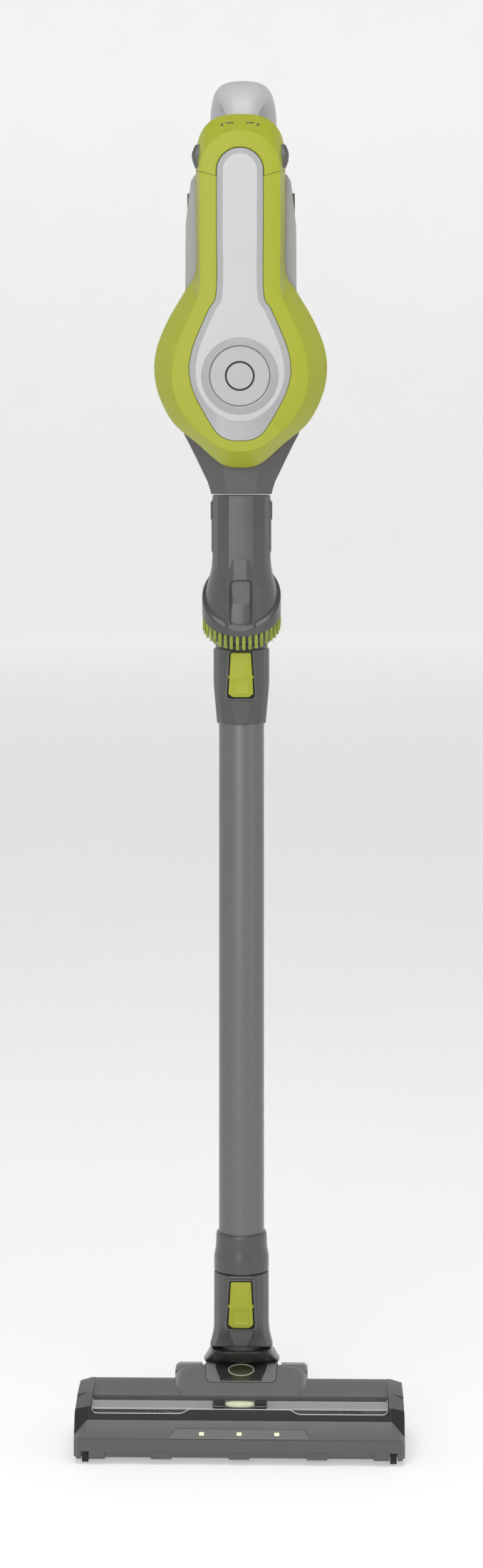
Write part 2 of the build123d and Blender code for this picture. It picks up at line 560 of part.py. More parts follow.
def shrunk(points, inset):
    """The half outline moved inwards by about that much."""
    return [(max(x - inset, 0) if x else 0, z + (inset if z < 800 else 0)) for x, z in points]


def hood_shape(inset, front, mode=Mode.ADD):
    """Shield and battery cap as one bevelled shape, optionally inset for the hollow."""
    face = bulb_outline(front, shrunk(face_half, inset), 1017 - inset, 1030 - inset)
    edge = bulb_outline(EDGE_Y, shrunk(outer_half, inset), 1028 - inset, 1046 - inset)
    back = bulb_outline(SHIELD_BACK, shrunk(outer_half, inset + 1), 1027 - inset, 1045 - inset)
    loft(sections=(face, edge), ruled=True, mode=mode)
    loft(sections=(edge, back), ruled=True, mode=mode)


with BuildPart() as front_shield:
    hood_shape(0, FACE_Y)
    hood_shape(WALL, FACE_Y + 4.2, Mode.SUBTRACT)
    block(-80, 80, -60, -20, SEAM_Z, 1060, Mode.SUBTRACT)
    # tongue that carries the trim plate's neck under the battery cap
    front_prism([(-18, 906), (18, 906), (18, 1005), (10, 1014), (-10, 1014), (-18, 1005)], -55.3, -50)
    seat = bulb_outline(-55.35, trim_half, 998.7, 1017)
    extrude(seat, amount=5, mode=Mode.SUBTRACT)
save(front_shield, "front_shield")

with BuildPart() as trim_plate:
    extrude(bulb_outline(-55.3, shrunk(trim_half, 0.15), 998.5, 1016.8), amount=1.6)
save(trim_plate, "trim_plate")

with BuildPart() as boss_ring:
    with BuildSketch(front_plane(-56.95)) as foot:
        with Locations((0, BOSS_Z)):
            Circle(30)
    with BuildSketch(front_plane(-59.2)) as rim:
        with Locations((0, BOSS_Z)):
            Circle(25.5)
    loft(sections=(foot.sketch.face(), rim.sketch.face()), ruled=True)
    rod_y(-60, -58.1, 0, BOSS_Z, 23.4, Mode.SUBTRACT)
save(boss_ring, "boss_ring")

with BuildPart() as badge_disc:
    rod_y(-59.0, -58.15, 0, BOSS_Z, 23.2)
    rod_y(-59.4, -58.9, 0, BOSS_Z, 13)
    rod_y(-60, -59.0, 0, BOSS_Z, 10.5, Mode.SUBTRACT)
save(badge_disc, "badge_disc")

with BuildPart() as chassis:
    extrude(bulb_outline(CHASSIS_BACK - 0.05, shrunk(outer_half, 3), 985, 992), amount=2.85)
    block(-31, 31, -28.5, -24, 985, 1060, Mode.SUBTRACT)
    rod_y(-30, -20, 0, 803, 13, Mode.SUBTRACT)
save(chassis, "chassis")

with BuildPart() as battery_cap:
    hood_shape(0, FACE_Y)
    hood_shape(WALL, FACE_Y + 4.2, Mode.SUBTRACT)
    block(-80, 80, -60, -20, 760, SEAM_Z + GAP, Mode.SUBTRACT)
    front_prism([(-18.7, 990), (18.7, 990), (18.7, 1005), (15.5, 1013), (8, 1017.3), (-8, 1017.3), (-15.5, 1013),
                 (-18.7, 1005)], -60, -40, Mode.SUBTRACT)
    for side in (-1, 1):
        block(side * 33 - 6, side * 33 + 6, -47.4, -32.6, 1004.6, 1025.4, Mode.SUBTRACT)
    block(-30, 30, -33, -27.5, 1026, 1041)
    block(-30, 30, -28, -1, 1031, 1041)
save(battery_cap, "battery_cap")

with BuildPart() as battery_case:
    block(-30, 30, -24.5, -1, 910, 1030.9)
    block(-28, 28, -22.5, -3, 912, 1029, Mode.SUBTRACT)
save(battery_case, "battery_case")

with BuildPart() as battery_cells:
    for x in (-18.6, 0, 18.6):
        for z in (912.1, 970.6):
            rod_z(x, -12.75, z, z + 58, 9.2)
save(battery_cells, "battery_cells")

with BuildPart() as indicator_lights:
    for x in (-18, -7, 0, 7, 18):
        block(x - 2, x + 2, -24, -21.6, 1041.05, 1041.6)
save(indicator_lights, "indicator_lights")

for side, word in ((-1, "left"), (1, "right")):
    with BuildPart() as battery_button:
        block(side * 34.2 - 4.2, side * 34.2 + 4.2, -47, -33, 1005, 1025)
        chamfer(battery_button.edges().filter_by(Axis.Y).filter_by(lambda e: abs(e.center().X) > 36), length=2.6)
    save(battery_button, f"battery_button_{word}")

with BuildPart() as inlet_funnel:
    with BuildSketch(Plane.XY.offset(INLET_Z + GAP)) as low:
        RectangleRounded(48.6, 47, 14)
    with BuildSketch(Plane.XY.offset(768)) as middle:
        RectangleRounded(54, 48.5, 13)
    with BuildSketch(Plane.XY.offset(800)) as high:
        RectangleRounded(96, 49, 12)
    loft(sections=(low.sketch.face(), middle.sketch.face()), ruled=True)
    loft(sections=(middle.sketch.face(), high.sketch.face()), ruled=True)
    rod_z(0, 0, 713, 780, 17.0)
    rod_y(-40, 40, 0, BIN_Z, BIN_R + 0.5, Mode.SUBTRACT)
    rod_z(0, 0, 700, 772, 15.0, Mode.SUBTRACT)
    with BuildSketch(front_plane(-21)) as mouth:
        with Locations((0, 772)):
            Rectangle(24, 14)
    extrude(mouth.sketch, amount=5, mode=Mode.SUBTRACT)
save(inlet_funnel, "inlet_funnel")

housing_half = [(0, 880), (40, 880), (44, 905), (43.7, 960), (39.6, 994), (36.5, 999), (29, 1002), (0, 1002)]
for side, word in ((-1, "left"), (1, "right")):
    with BuildPart() as motor_housing:
        front_prism([(side * x + side * FIT * (x < 1), z) for x, z in housing_half], -24.9, 60)
        rear = motor_housing.edges().filter_by(lambda e: e.center().Y > 59.9 and e.center().Z > 903 and
                                               abs(e.center().X) > 30)
        chamfer(rear, length=7)
        rod_y(-30, 70, 0, BIN_Z, BIN_R + 0.5, Mode.SUBTRACT)
        block(-30.4, 30.4, -26, -0.6, 909.6, 1010, Mode.SUBTRACT)
        block(-38, 38, 2, 57.4, 912, 996, Mode.SUBTRACT)
        block(side * 42 - 4.5, side * 42 + 4.5, -19.6, 46, 955, 985, Mode.SUBTRACT)
        block(-6.1, 6.1, 46, 70, 911, 924.1, Mode.SUBTRACT)
    save(motor_housing, f"motor_housing_{word}")

with BuildPart() as vent_grilles:
    for side in (-1, 1):
        block(side * 40.2 - 2.4, side * 40.2 + 2.4, -19.5, 45.9, 955.05, 984.95)
        for k in range(11):
            block(side * 40.2 - 4, side * 40.2 + 4, -17 + 5.7 * k, -14 + 5.7 * k, 958, 982, Mode.SUBTRACT)
save(vent_grilles, "vent_grilles")

grip_outline = [(4, 1002.1), (4, 1040), (9, 1058), (20, 1071), (36, 1081), (50, 1083.6), (66, 1080), (79, 1068),
                (86, 1048), (87, 1020), (84, 985), (79, 950), (74, 930), (60.1, 930), (60.1, 962), (66, 985),
                (68, 1012), (66, 1038), (59, 1052), (47, 1058), (34, 1055), (26, 1044), (22, 1025), (21, 1002.1)]
grip_plan = [(3, 12.5), (21, 12.8), (36, 26), (58, 27.5), (68, 20), (90, 14.5)]
for side, word in ((-1, "left"), (1, "right")):
    with BuildPart() as handle:
        side_prism(grip_outline, min(side * FIT, side * 28), max(side * FIT, side * 28))
        with BuildSketch(Plane.XY.offset(920)) as plan:
            with BuildLine():
                Polyline((-side, 3), *[(side * x, y) for y, x in grip_plan], (-side, 90), close=True)
            make_face()
        extrude(plan.sketch, amount=180, mode=Mode.INTERSECT)
        with BuildSketch(front_plane(95)) as dome:
            with Locations((0, 1050)):
                Ellipse(27.8, 33.6)
            with Locations((0, 985)):
                Rectangle(50, 130)
        extrude(dome.sketch, amount=100, mode=Mode.INTERSECT)
        block(-6.6, 6.6, 60, 76.4, 1006, 1046, Mode.SUBTRACT)
        block(-7.4, 7.4, 52, 70, 1077.4, 1090, Mode.SUBTRACT)
    save(handle, f"handle_{word}")

with BuildPart() as trigger:
    side_prism([(65, 1042), (69.5, 1042), (71, 1034), (71, 1012), (64, 1010), (61, 1018), (62, 1030)], -6, 6)
    rod_x(-6.2, 6.2, 68, 1041, 1.4)
save(trigger, "trigger")

with BuildPart() as mode_slider:
    block(-7, 7, 52.4, 62, 1077.7, 1083.2)
    for k in range(4):
        block(-5, 5, 53.8 + 2.0 * k, 54.8 + 2.0 * k, 1082.6, 1084, Mode.SUBTRACT)
save(mode_slider, "mode_slider")

with BuildPart() as suction_motor:
    rod_z(0, FAN_Y, 912.05, 992, 23)
    rod_z(0, FAN_Y, 958, 990, 21, Mode.SUBTRACT)
    rod_z(0, FAN_Y, 911, 992, 5, Mode.SUBTRACT)
save(suction_motor, "suction_motor")

with BuildPart() as fan_rotor:
    rod_z(0, FAN_Y, 961, 964, 20)
    rod_z(0, FAN_Y, 916, 984, 4.6)
    for k in range(9):
        with Locations(Plane((0, FAN_Y, 970), (cos(radians(40 * k)), sin(radians(40 * k)), 0), (0, 0, 1))):
            with Locations((11.5, 0, 0)):
                Box(15, 1.2, 13)
save(fan_rotor, "fan_rotor")

with BuildPart() as control_board:
    block(-20, 20, 53.5, 55.1, 930, 985)
    for z in (940, 955, 970):
        block(-12, 12, 51.2, 53.6, z, z + 8)
save(control_board, "control_board")

with BuildPart() as charging_socket:
    block(-6, 6, 50.3, 60.6, 911.05, 924)
    rod_y(51.1, 61, 0, 917.5, 2.8, Mode.SUBTRACT)
save(charging_socket, "charging_socket")

# ================================ dust bin ================================
with BuildPart() as dust_bin:
    rod_y(BIN_FRONT, BIN_REAR, 0, BIN_Z, BIN_R)
    rod_y(BIN_FRONT + WALL, BIN_REAR + 1, 0, BIN_Z, BIN_R - WALL, Mode.SUBTRACT)
    rod_y(BIN_FRONT - 1, BIN_FRONT + 3, 0, 803, 12, Mode.SUBTRACT)
    for side in (-1, 1):
        block(side * 13 - 4.5, side * 13 + 4.5, 60, 71, 778, 784)
        rod_x(side * 13 - 4.5, side * 13 + 4.5, 70, 779.5, 3.2)
    rod_y(BIN_FRONT + WALL, BIN_REAR + 1, 0, BIN_Z, BIN_R - WALL, Mode.SUBTRACT)
    rod_x(-12, 12, 70, 779.5, 1.4)
save(dust_bin, "dust_bin")

with BuildPart() as cyclone_shroud:
    rod_y(-18, 40, 0, BIN_Z, 36)
    rod_y(-22.25, -18, 0, BIN_Z, 42)
    rod_y(-23, 41, 0, BIN_Z, 34.4, Mode.SUBTRACT)
    for k in range(24):
        with Locations(Plane((0, 0, BIN_Z), (cos(radians(15 * k)), 0, sin(radians(15 * k))), (0, 1, 0))):
            for y in (-8, 4, 16, 28):
                with Locations((35, 0, y)):
                    Box(6, 3.4, 8, mode=Mode.SUBTRACT)
save(cyclone_shroud, "cyclone_shroud")

with BuildPart() as filter_cartridge:
    with BuildSketch(front_plane(38)) as pleats:
        with BuildLine():
            Polyline(*[(r * cos(radians(6 * k)), BIN_Z + r * sin(radians(6 * k)))
                       for k in range(60) for r in ((32 if k % 2 else 26),)], close=True)
        make_face()
        with Locations((0, BIN_Z)):
            Circle(18, mode=Mode.SUBTRACT)
    extrude(pleats.sketch, amount=52)
    rod_y(-17, -14, 0, BIN_Z, 33)
    rod_y(38, 41, 0, BIN_Z, 33)
    rod_y(38, 41, 0, BIN_Z, 18, Mode.SUBTRACT)
save(filter_cartridge, "filter_cartridge")

with BuildPart() as bin_lid:
    rod_y(BIN_REAR + GAP, LID_REAR, 0, BIN_Z, BIN_R)
    rod_y(BIN_REAR - 1, LID_REAR - WALL, 0, BIN_Z, BIN_R - WALL, Mode.SUBTRACT)
    for side in (-1, 1):
        block(side * 13 - 5, side * 13 + 5, 60, 80, 770, 785.5, Mode.SUBTRACT)
    rod_x(-7.8, 7.8, 70, 779.5, 3.2)
    block(-7.8, 7.8, 68, 74.9, 779, 786)
    rod_x(-9, 9, 70, 779.5, 1.62, Mode.SUBTRACT)
    block(-8.4, 8.4, 60, 80, 899, 910, Mode.SUBTRACT)
save(bin_lid, "bin_lid")

with BuildPart() as bin_latch:
    block(-7.8, 7.8, 70, LID_REAR + 1, 899.6, 911)
    rod_x(-7.8, 7.8, 71.5, 903, 1.2, Mode.SUBTRACT)
save(bin_latch, "bin_latch")
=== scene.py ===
"""Cordless stick vacuum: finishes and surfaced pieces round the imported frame."""

from math import radians

import bmesh
import bpy
import numpy as np
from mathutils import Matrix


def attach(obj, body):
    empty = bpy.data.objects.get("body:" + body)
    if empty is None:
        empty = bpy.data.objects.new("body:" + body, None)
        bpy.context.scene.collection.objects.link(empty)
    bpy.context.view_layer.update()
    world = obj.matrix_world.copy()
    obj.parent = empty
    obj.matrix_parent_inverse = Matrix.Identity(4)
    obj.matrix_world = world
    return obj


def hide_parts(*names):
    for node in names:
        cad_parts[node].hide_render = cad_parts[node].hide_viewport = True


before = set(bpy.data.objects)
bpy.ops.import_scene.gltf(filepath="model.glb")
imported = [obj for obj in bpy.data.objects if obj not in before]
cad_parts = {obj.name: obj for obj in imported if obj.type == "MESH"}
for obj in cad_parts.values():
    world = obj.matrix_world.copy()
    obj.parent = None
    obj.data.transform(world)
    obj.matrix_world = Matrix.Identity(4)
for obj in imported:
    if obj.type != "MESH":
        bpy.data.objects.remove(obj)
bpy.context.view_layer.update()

bl_info = {
    "name": "Stick Vacuum Builder",
    "version": (1, 0, 0),
    "blender": (4, 5, 0),
    "location": "View3D > Sidebar > Stick Vacuum",
    "description": "Surfaces and finishes for a cordless stick vacuum",
    "category": "Add Mesh",
}

MM = 0.001


# ---- shapes worked out as arrays --------------------------------------------------------------
def surface(name, grid, body, material, closed=(True, False), ends=True, sharp=32.0, slot=None, nodes=()):
    """Makes a mesh from a grid of points in millimetres, rows by columns.

    closed says whether the last column joins the first and the last row joins the first.
    ends closes the first and last rows, each with one point at the row's mean.
    Quad (i, j) joins point (i, j) to its neighbours in the next row and the next column.
    """
    rows, columns = grid.shape[:2]
    points = grid.reshape(-1, 3)
    row = np.arange(rows if closed[1] else rows - 1)[:, None]
    column = np.arange(columns if closed[0] else columns - 1)[None, :]
    below, beside = (row + 1) % rows, (column + 1) % columns
    quads = np.stack([row * columns + column, row * columns + beside,
                      below * columns + beside, below * columns + column], axis=-1).reshape(-1, 4)
    faces = quads.tolist()
    if ends and not closed[1]:
        ring = np.arange(columns)
        first, last = len(points), len(points) + 1
        points = np.vstack([points, grid[0].mean(axis=0), grid[-1].mean(axis=0)])
        near = np.stack([np.full(columns, first), np.roll(ring, -1), ring], axis=-1)
        far = np.stack([np.full(columns, last), ring, np.roll(ring, -1)], axis=-1)
        far[:, 1:] += (rows - 1) * columns
        faces += near.tolist() + far.tolist()
    return new_piece(name, points, faces, body, material, sharp, slot, nodes)


def new_piece(name, points, faces, body, material, sharp, slot=None, nodes=(), clean=True):
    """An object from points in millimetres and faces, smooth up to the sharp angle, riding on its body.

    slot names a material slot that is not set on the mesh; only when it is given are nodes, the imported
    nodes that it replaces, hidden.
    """
    mesh = bpy.data.meshes.new(name)
    mesh.from_pydata((points * MM).tolist(), [], faces)
    if clean:
        tidy_mesh(mesh)
    mesh.polygons.foreach_set("use_smooth", np.full(len(mesh.polygons), True))
    mesh.set_sharp_from_angle(angle=radians(sharp))
    piece = bpy.data.objects.new(name, mesh)
    bpy.context.scene.collection.objects.link(piece)
    mesh.materials.append(material)
    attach(piece, body)
    if slot:
        settle(piece, slot, *nodes)
    return piece


def settle(piece, slot, *nodes):
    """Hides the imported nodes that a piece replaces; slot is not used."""
    if nodes:
        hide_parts(*nodes)


def tidy_mesh(mesh):
    """Merges doubled points, drops empty faces and turns every face outwards."""
    work = bmesh.new()
    work.from_mesh(mesh)
    bmesh.ops.remove_doubles(work, verts=work.verts, dist=2e-6)
    bmesh.ops.dissolve_degenerate(work, dist=1e-6, edges=work.edges)
    bmesh.ops.recalc_face_normals(work, faces=work.faces)
    work.to_mesh(mesh)
    work.free()


def sheet(name, grid, keep, drop, body, material, sharp=32.0, slot=None, nodes=()):
    """Makes an open grid of points into a sheet, leaving out the quads that keep marks as holes.

    Every free edge is turned down by the drop, so that the sheet shows its thickness.
    """
    rows, columns = grid.shape[:2]
    total = rows * columns
    index = np.arange(total).reshape(rows, columns)
    a, b, c, d = index[:-1, :-1], index[:-1, 1:], index[1:, 1:], index[1:, :-1]
    faces = [np.stack([a, b, c, d], axis=-1)[keep]]
    padded = np.pad(keep, 1)
    sides = [(padded[:-2, 1:-1], a, b), (padded[2:, 1:-1], c, d), (padded[1:-1, :-2], d, a),
             (padded[1:-1, 2:], b, c)]
    for neighbour, start, end in sides:
        edge = keep & ~neighbour
        faces.append(np.stack([start[edge], start[edge] + total, end[edge] + total, end[edge]], axis=-1))
    faces = np.concatenate(faces)
    points = np.concatenate([grid.reshape(-1, 3), (grid - (0, 0, drop)).reshape(-1, 3)])
    used, faces = np.unique(faces, return_inverse=True)
    return new_piece(name, points[used], faces.reshape(-1, 4).tolist(), body, material, sharp, slot, nodes)


def smooth_line(points, count):
    """Catmull-Rom curve: each span is the cubic through its two ends, with slopes from their neighbours."""
    p = np.asarray(points, float)
    p = np.vstack([2 * p[0] - p[1], p, 2 * p[-1] - p[-2]])
    t = np.linspace(0, len(p) - 3 - 1e-9, count)
    i = t.astype(int)
    f = (t - i)[:, None]
    a, b, c, d = p[i], p[i + 1], p[i + 2], p[i + 3]
    square, cube = 2 * a - 5 * b + 4 * c - d, 3 * b - a - 3 * c + d
    return 0.5 * (2 * b + (c - a) * f + square * f ** 2 + cube * f ** 3)


def even_line(points, count):
    """The same line with its points at equal steps of length."""
    step = np.r_[0, np.cumsum(np.linalg.norm(np.diff(points, axis=0), axis=1))]
    t = np.linspace(0, step[-1], count)
    return np.stack([np.interp(t, step, points[:, k]) for k in range(points.shape[1])], axis=-1)


def rounded(points, radius, arc=6):
    """Closed polygon with each corner turned to an arc: corner point pulled in along both sides by the
    radius's tangent length, and the points between on a quadratic curve through the corner."""
    p = np.asarray(points, float)
    radius = np.broadcast_to(radius, len(p))[:, None]
    before, after = np.roll(p, 1, axis=0) - p, np.roll(p, -1, axis=0) - p
    length_b = np.linalg.norm(before, axis=1, keepdims=True)
    length_a = np.linalg.norm(after, axis=1, keepdims=True)
    before, after = before / length_b, after / length_a
    half = np.arccos(np.clip((before * after).sum(1, keepdims=True), -1, 1)) / 2
    reach = np.minimum(radius / np.tan(half), 0.49 * np.minimum(length_b, length_a))
    t = np.linspace(0, 1, arc)[None, :, None]
    start, end = (p + before * reach)[:, None], (p + after * reach)[:, None]
    corner = p[:, None]
    return (start * (1 - t) ** 2 + 2 * corner * t * (1 - t) + end * t ** 2).reshape(-1, 2)


def inset(outline, amount):
    """Moves each point of a closed outline inwards along the mean normal of its two sides."""
    ahead, behind = np.roll(outline, -1, axis=0), np.roll(outline, 1, axis=0)
    along = ahead - behind
    along /= np.maximum(np.linalg.norm(along, axis=1, keepdims=True), 1e-9)
    area = (outline[:, 0] * ahead[:, 1] - ahead[:, 0] * outline[:, 1]).sum()
    normal = np.stack([-along[:, 1], along[:, 0]], axis=-1) * np.sign(area)
    return outline + normal * amount


def place(flat, depth, view):
    """Puts flat points at a depth: view front makes (x, z) at y, side makes (y, z) at x, top (x, y) at z."""
    depth = np.broadcast_to(depth, flat.shape[:-1])
    parts = {"front": (flat[..., 0], depth, flat[..., 1]), "side": (depth, flat[..., 0], flat[..., 1]),
             "top": (flat[..., 0], flat[..., 1], depth)}[view]
    return np.stack(parts, axis=-1)


def slab(name, outline, rows, view, body, material, **kw):
    """A plate: each row (inward step, depth) is the outline moved inwards and set at that depth."""
    grid = np.stack([place(inset(outline, step), depth, view) for step, depth in rows])
    return surface(name, grid, body, material, **kw)


def lathe(name, profile, body, material, centre=(0, 0), axis="z", count=96, **kw):
    """Turns a profile of (radius, height) about an axis through centre, in equal steps of angle."""
    angle = np.linspace(0, 2 * np.pi, count, endpoint=False)
    r, h = np.asarray(profile, float).T
    across = r[:, None] * np.cos(angle)[None]
    up = r[:, None] * np.sin(angle)[None]
    height = np.broadcast_to(h[:, None], across.shape)
    a, b = centre
    order = {"z": (across + a, up + b, height), "y": (across + a, height, up + b),
             "x": (height, across + a, up + b)}[axis]
    return surface(name, np.stack(order, axis=-1), body, material, **kw)


def soften(profile, radius, arc=4):
    """Open profile with its inner corners turned to small arcs, each a quadratic curve."""
    p = np.asarray(profile, float)
    before, after = p[:-2] - p[1:-1], p[2:] - p[1:-1]
    length_b = np.linalg.norm(before, axis=1, keepdims=True)
    length_a = np.linalg.norm(after, axis=1, keepdims=True)
    reach_b = np.minimum(radius / length_b, 0.45)
    reach_a = np.minimum(radius / length_a, 0.45)
    t = np.linspace(0, 1, arc)[None, :, None]
    start, end = (p[1:-1] + before * reach_b)[:, None], (p[1:-1] + after * reach_a)[:, None]
    bend = (start * (1 - t) ** 2 + 2 * p[1:-1, None] * t * (1 - t) + end * t ** 2).reshape(-1, 2)
    return np.vstack([p[:1], bend, p[-1:]])


def stack(name, sections, body, material, **kw):
    """Skins a list of (outline, depth) sections that all have the same number of points."""
    return surface(name, np.stack([place(outline, depth, "top") for outline, depth in sections]),
                   body, material, **kw)


def bored(name, sections, bore, floor, body, material, **kw):
    """A skinned piece with a round bore: outlines from the foot up, then the bore down to its floor."""
    rim, top = sections[-1]
    turn = np.arctan2(rim[:, 1], rim[:, 0])
    circle = np.stack([bore * np.cos(turn), bore * np.sin(turn)], axis=-1)
    return stack(name, [*sections, (circle, top), (circle, floor)], body, material, **kw)


# ---- finishes -----------------------------------------------------------------------------
def finish_nodes(name):
    """A new material with its principled shader and object coordinates."""
    material = bpy.data.materials.new(name)
    material.use_nodes = True
    tree = material.node_tree
    shader = tree.nodes["Principled BSDF"]
    place_node = tree.nodes.new("ShaderNodeTexCoord")
    return material, tree, shader, place_node.outputs["Object"]


def noise(tree, source, scale, detail=3.0, stretch=None):
    """A noise pattern on those coordinates, stretched along axes if asked."""
    if stretch:
        mapping = tree.nodes.new("ShaderNodeMapping")
        mapping.inputs["Scale"].default_value = stretch
        tree.links.new(source, mapping.inputs["Vector"])
        source = mapping.outputs["Vector"]
    node = tree.nodes.new("ShaderNodeTexNoise")
    dial(node, {"Scale": scale, "Detail": detail})
    tree.links.new(source, node.inputs["Vector"])
    return node.outputs["Fac"]


def span(tree, source, low, high):
    """Maps a 0.3 to 0.7 pattern to the range low to high."""
    node = tree.nodes.new("ShaderNodeMapRange")
    dial(node, {"From Min": 0.3, "From Max": 0.7, "To Min": low, "To Max": high})
    tree.links.new(source, node.inputs["Value"])
    return node.outputs["Result"]


def shades(tree, pattern, dark, light):
    """Colours that run from dark to light with a pattern."""
    ramp = tree.nodes.new("ShaderNodeValToRGB")
    ramp.color_ramp.elements[0].position, ramp.color_ramp.elements[1].position = 0.32, 0.68
    ramp.color_ramp.elements[0].color = (*dark, 1)
    ramp.color_ramp.elements[1].color = (*light, 1)
    tree.links.new(pattern, ramp.inputs["Fac"])
    return ramp.outputs["Color"]


def dial(node, values):
    """Sets a node's inputs from a table of names and values."""
    for name, value in values.items():
        node.inputs[name].default_value = value


def paint(tree, shader, pattern, colour, dark, light):
    """Base colour that runs with a pattern from the dark share of a colour to its light share."""
    colour = np.array(colour)
    tree.links.new(shades(tree, pattern, colour * dark, np.minimum(colour * light, 1)),
                   shader.inputs["Base Color"])


def emboss(tree, shader, pattern, strength, distance):
    """Bumps the surface with a pattern; the distance is in metres."""
    bump = tree.nodes.new("ShaderNodeBump")
    dial(bump, {"Strength": strength, "Distance": distance})
    tree.links.new(pattern, bump.inputs["Height"])
    tree.links.new(bump.outputs["Normal"], shader.inputs["Normal"])


def moulded(name, colour, roughness, grain, depth, spread, coat=0.0, metallic=0.0, specular=0.5, uneven=0.02):
    """Moulded plastic: spark-eroded grain in the bump, faint cloudy colour, and uneven roughness."""
    _, tree, shader, at = finish_nodes(name)
    paint(tree, shader, noise(tree, at, 14.0, 4.0), colour, 1 - spread, 1 + spread)
    tree.links.new(span(tree, noise(tree, at, 60.0), roughness - uneven, roughness + uneven),
                   shader.inputs["Roughness"])
    emboss(tree, shader, noise(tree, at, grain, 2.0), depth, 0.0003)
    dial(shader, {"Coat Weight": coat, "Coat Roughness": 0.12, "Metallic": metallic,
                  "Specular IOR Level": specular})


def clear(name, colour, alpha):
    """Clear or smoked plastic: a thin tinted film with a smooth gloss and faint flow marks."""
    material, tree, shader, at = finish_nodes(name)
    flow = noise(tree, at, 30.0, 3.0, (1.0, 1.0, 4.0))
    paint(tree, shader, flow, colour, 0.94, 1.05)
    tree.links.new(span(tree, flow, 0.096, 0.156), shader.inputs["Roughness"])
    dial(shader, {"Alpha": alpha, "Coat Weight": 0.5, "Coat Roughness": 0.08})
    material.surface_render_method = "BLENDED"


def lacquered(name, colour, roughness):
    """Lacquered metal tube: metal flake under a clear coat, drawn a little along the tube."""
    _, tree, shader, at = finish_nodes(name)
    paint(tree, shader, noise(tree, at, 2600.0, 1.0), colour, 0.86, 1.16)
    drawn = noise(tree, at, 220.0, 3.0, (1.0, 1.0, 0.02))
    tree.links.new(span(tree, drawn, roughness - 0.04, roughness + 0.05), shader.inputs["Roughness"])
    dial(shader, {"Metallic": 0.55, "Coat Weight": 0.15, "Coat Roughness": 0.25})
    emboss(tree, shader, drawn, 0.06, 0.0002)


def bristle(name, colour):
    """Nylon bristle: fine streaks along each hair, lighter and darker hairs, and a soft sheen."""
    _, tree, shader, at = finish_nodes(name)
    hairs = noise(tree, at, 2200.0, 2.0, (1.0, 1.0, 0.05))
    paint(tree, shader, hairs, colour, 0.7, 1.25)
    dial(shader, {"Roughness": 0.5, "Sheen Weight": 0.3})
    emboss(tree, shader, hairs, 0.5, 0.0004)


def glowing_lens(name, colour):
    """A diffuse lens for the lamps: milky plastic with a faint ribbed surface and a faint glow of its own; on
    the pale oval in the floor head's window that glow is painted light.
    """
    _, tree, shader, at = finish_nodes(name)
    paint(tree, shader, noise(tree, at, 700.0, 1.0, (4.0, 0.5, 0.5)), colour, 0.95, 1.05)
    dial(shader, {"Roughness": 0.35, "Emission Color": (*colour, 1), "Emission Strength": 0.25})


def dimmed(colour, share):
    """That share of a colour."""
    return tuple(share * part for part in colour)


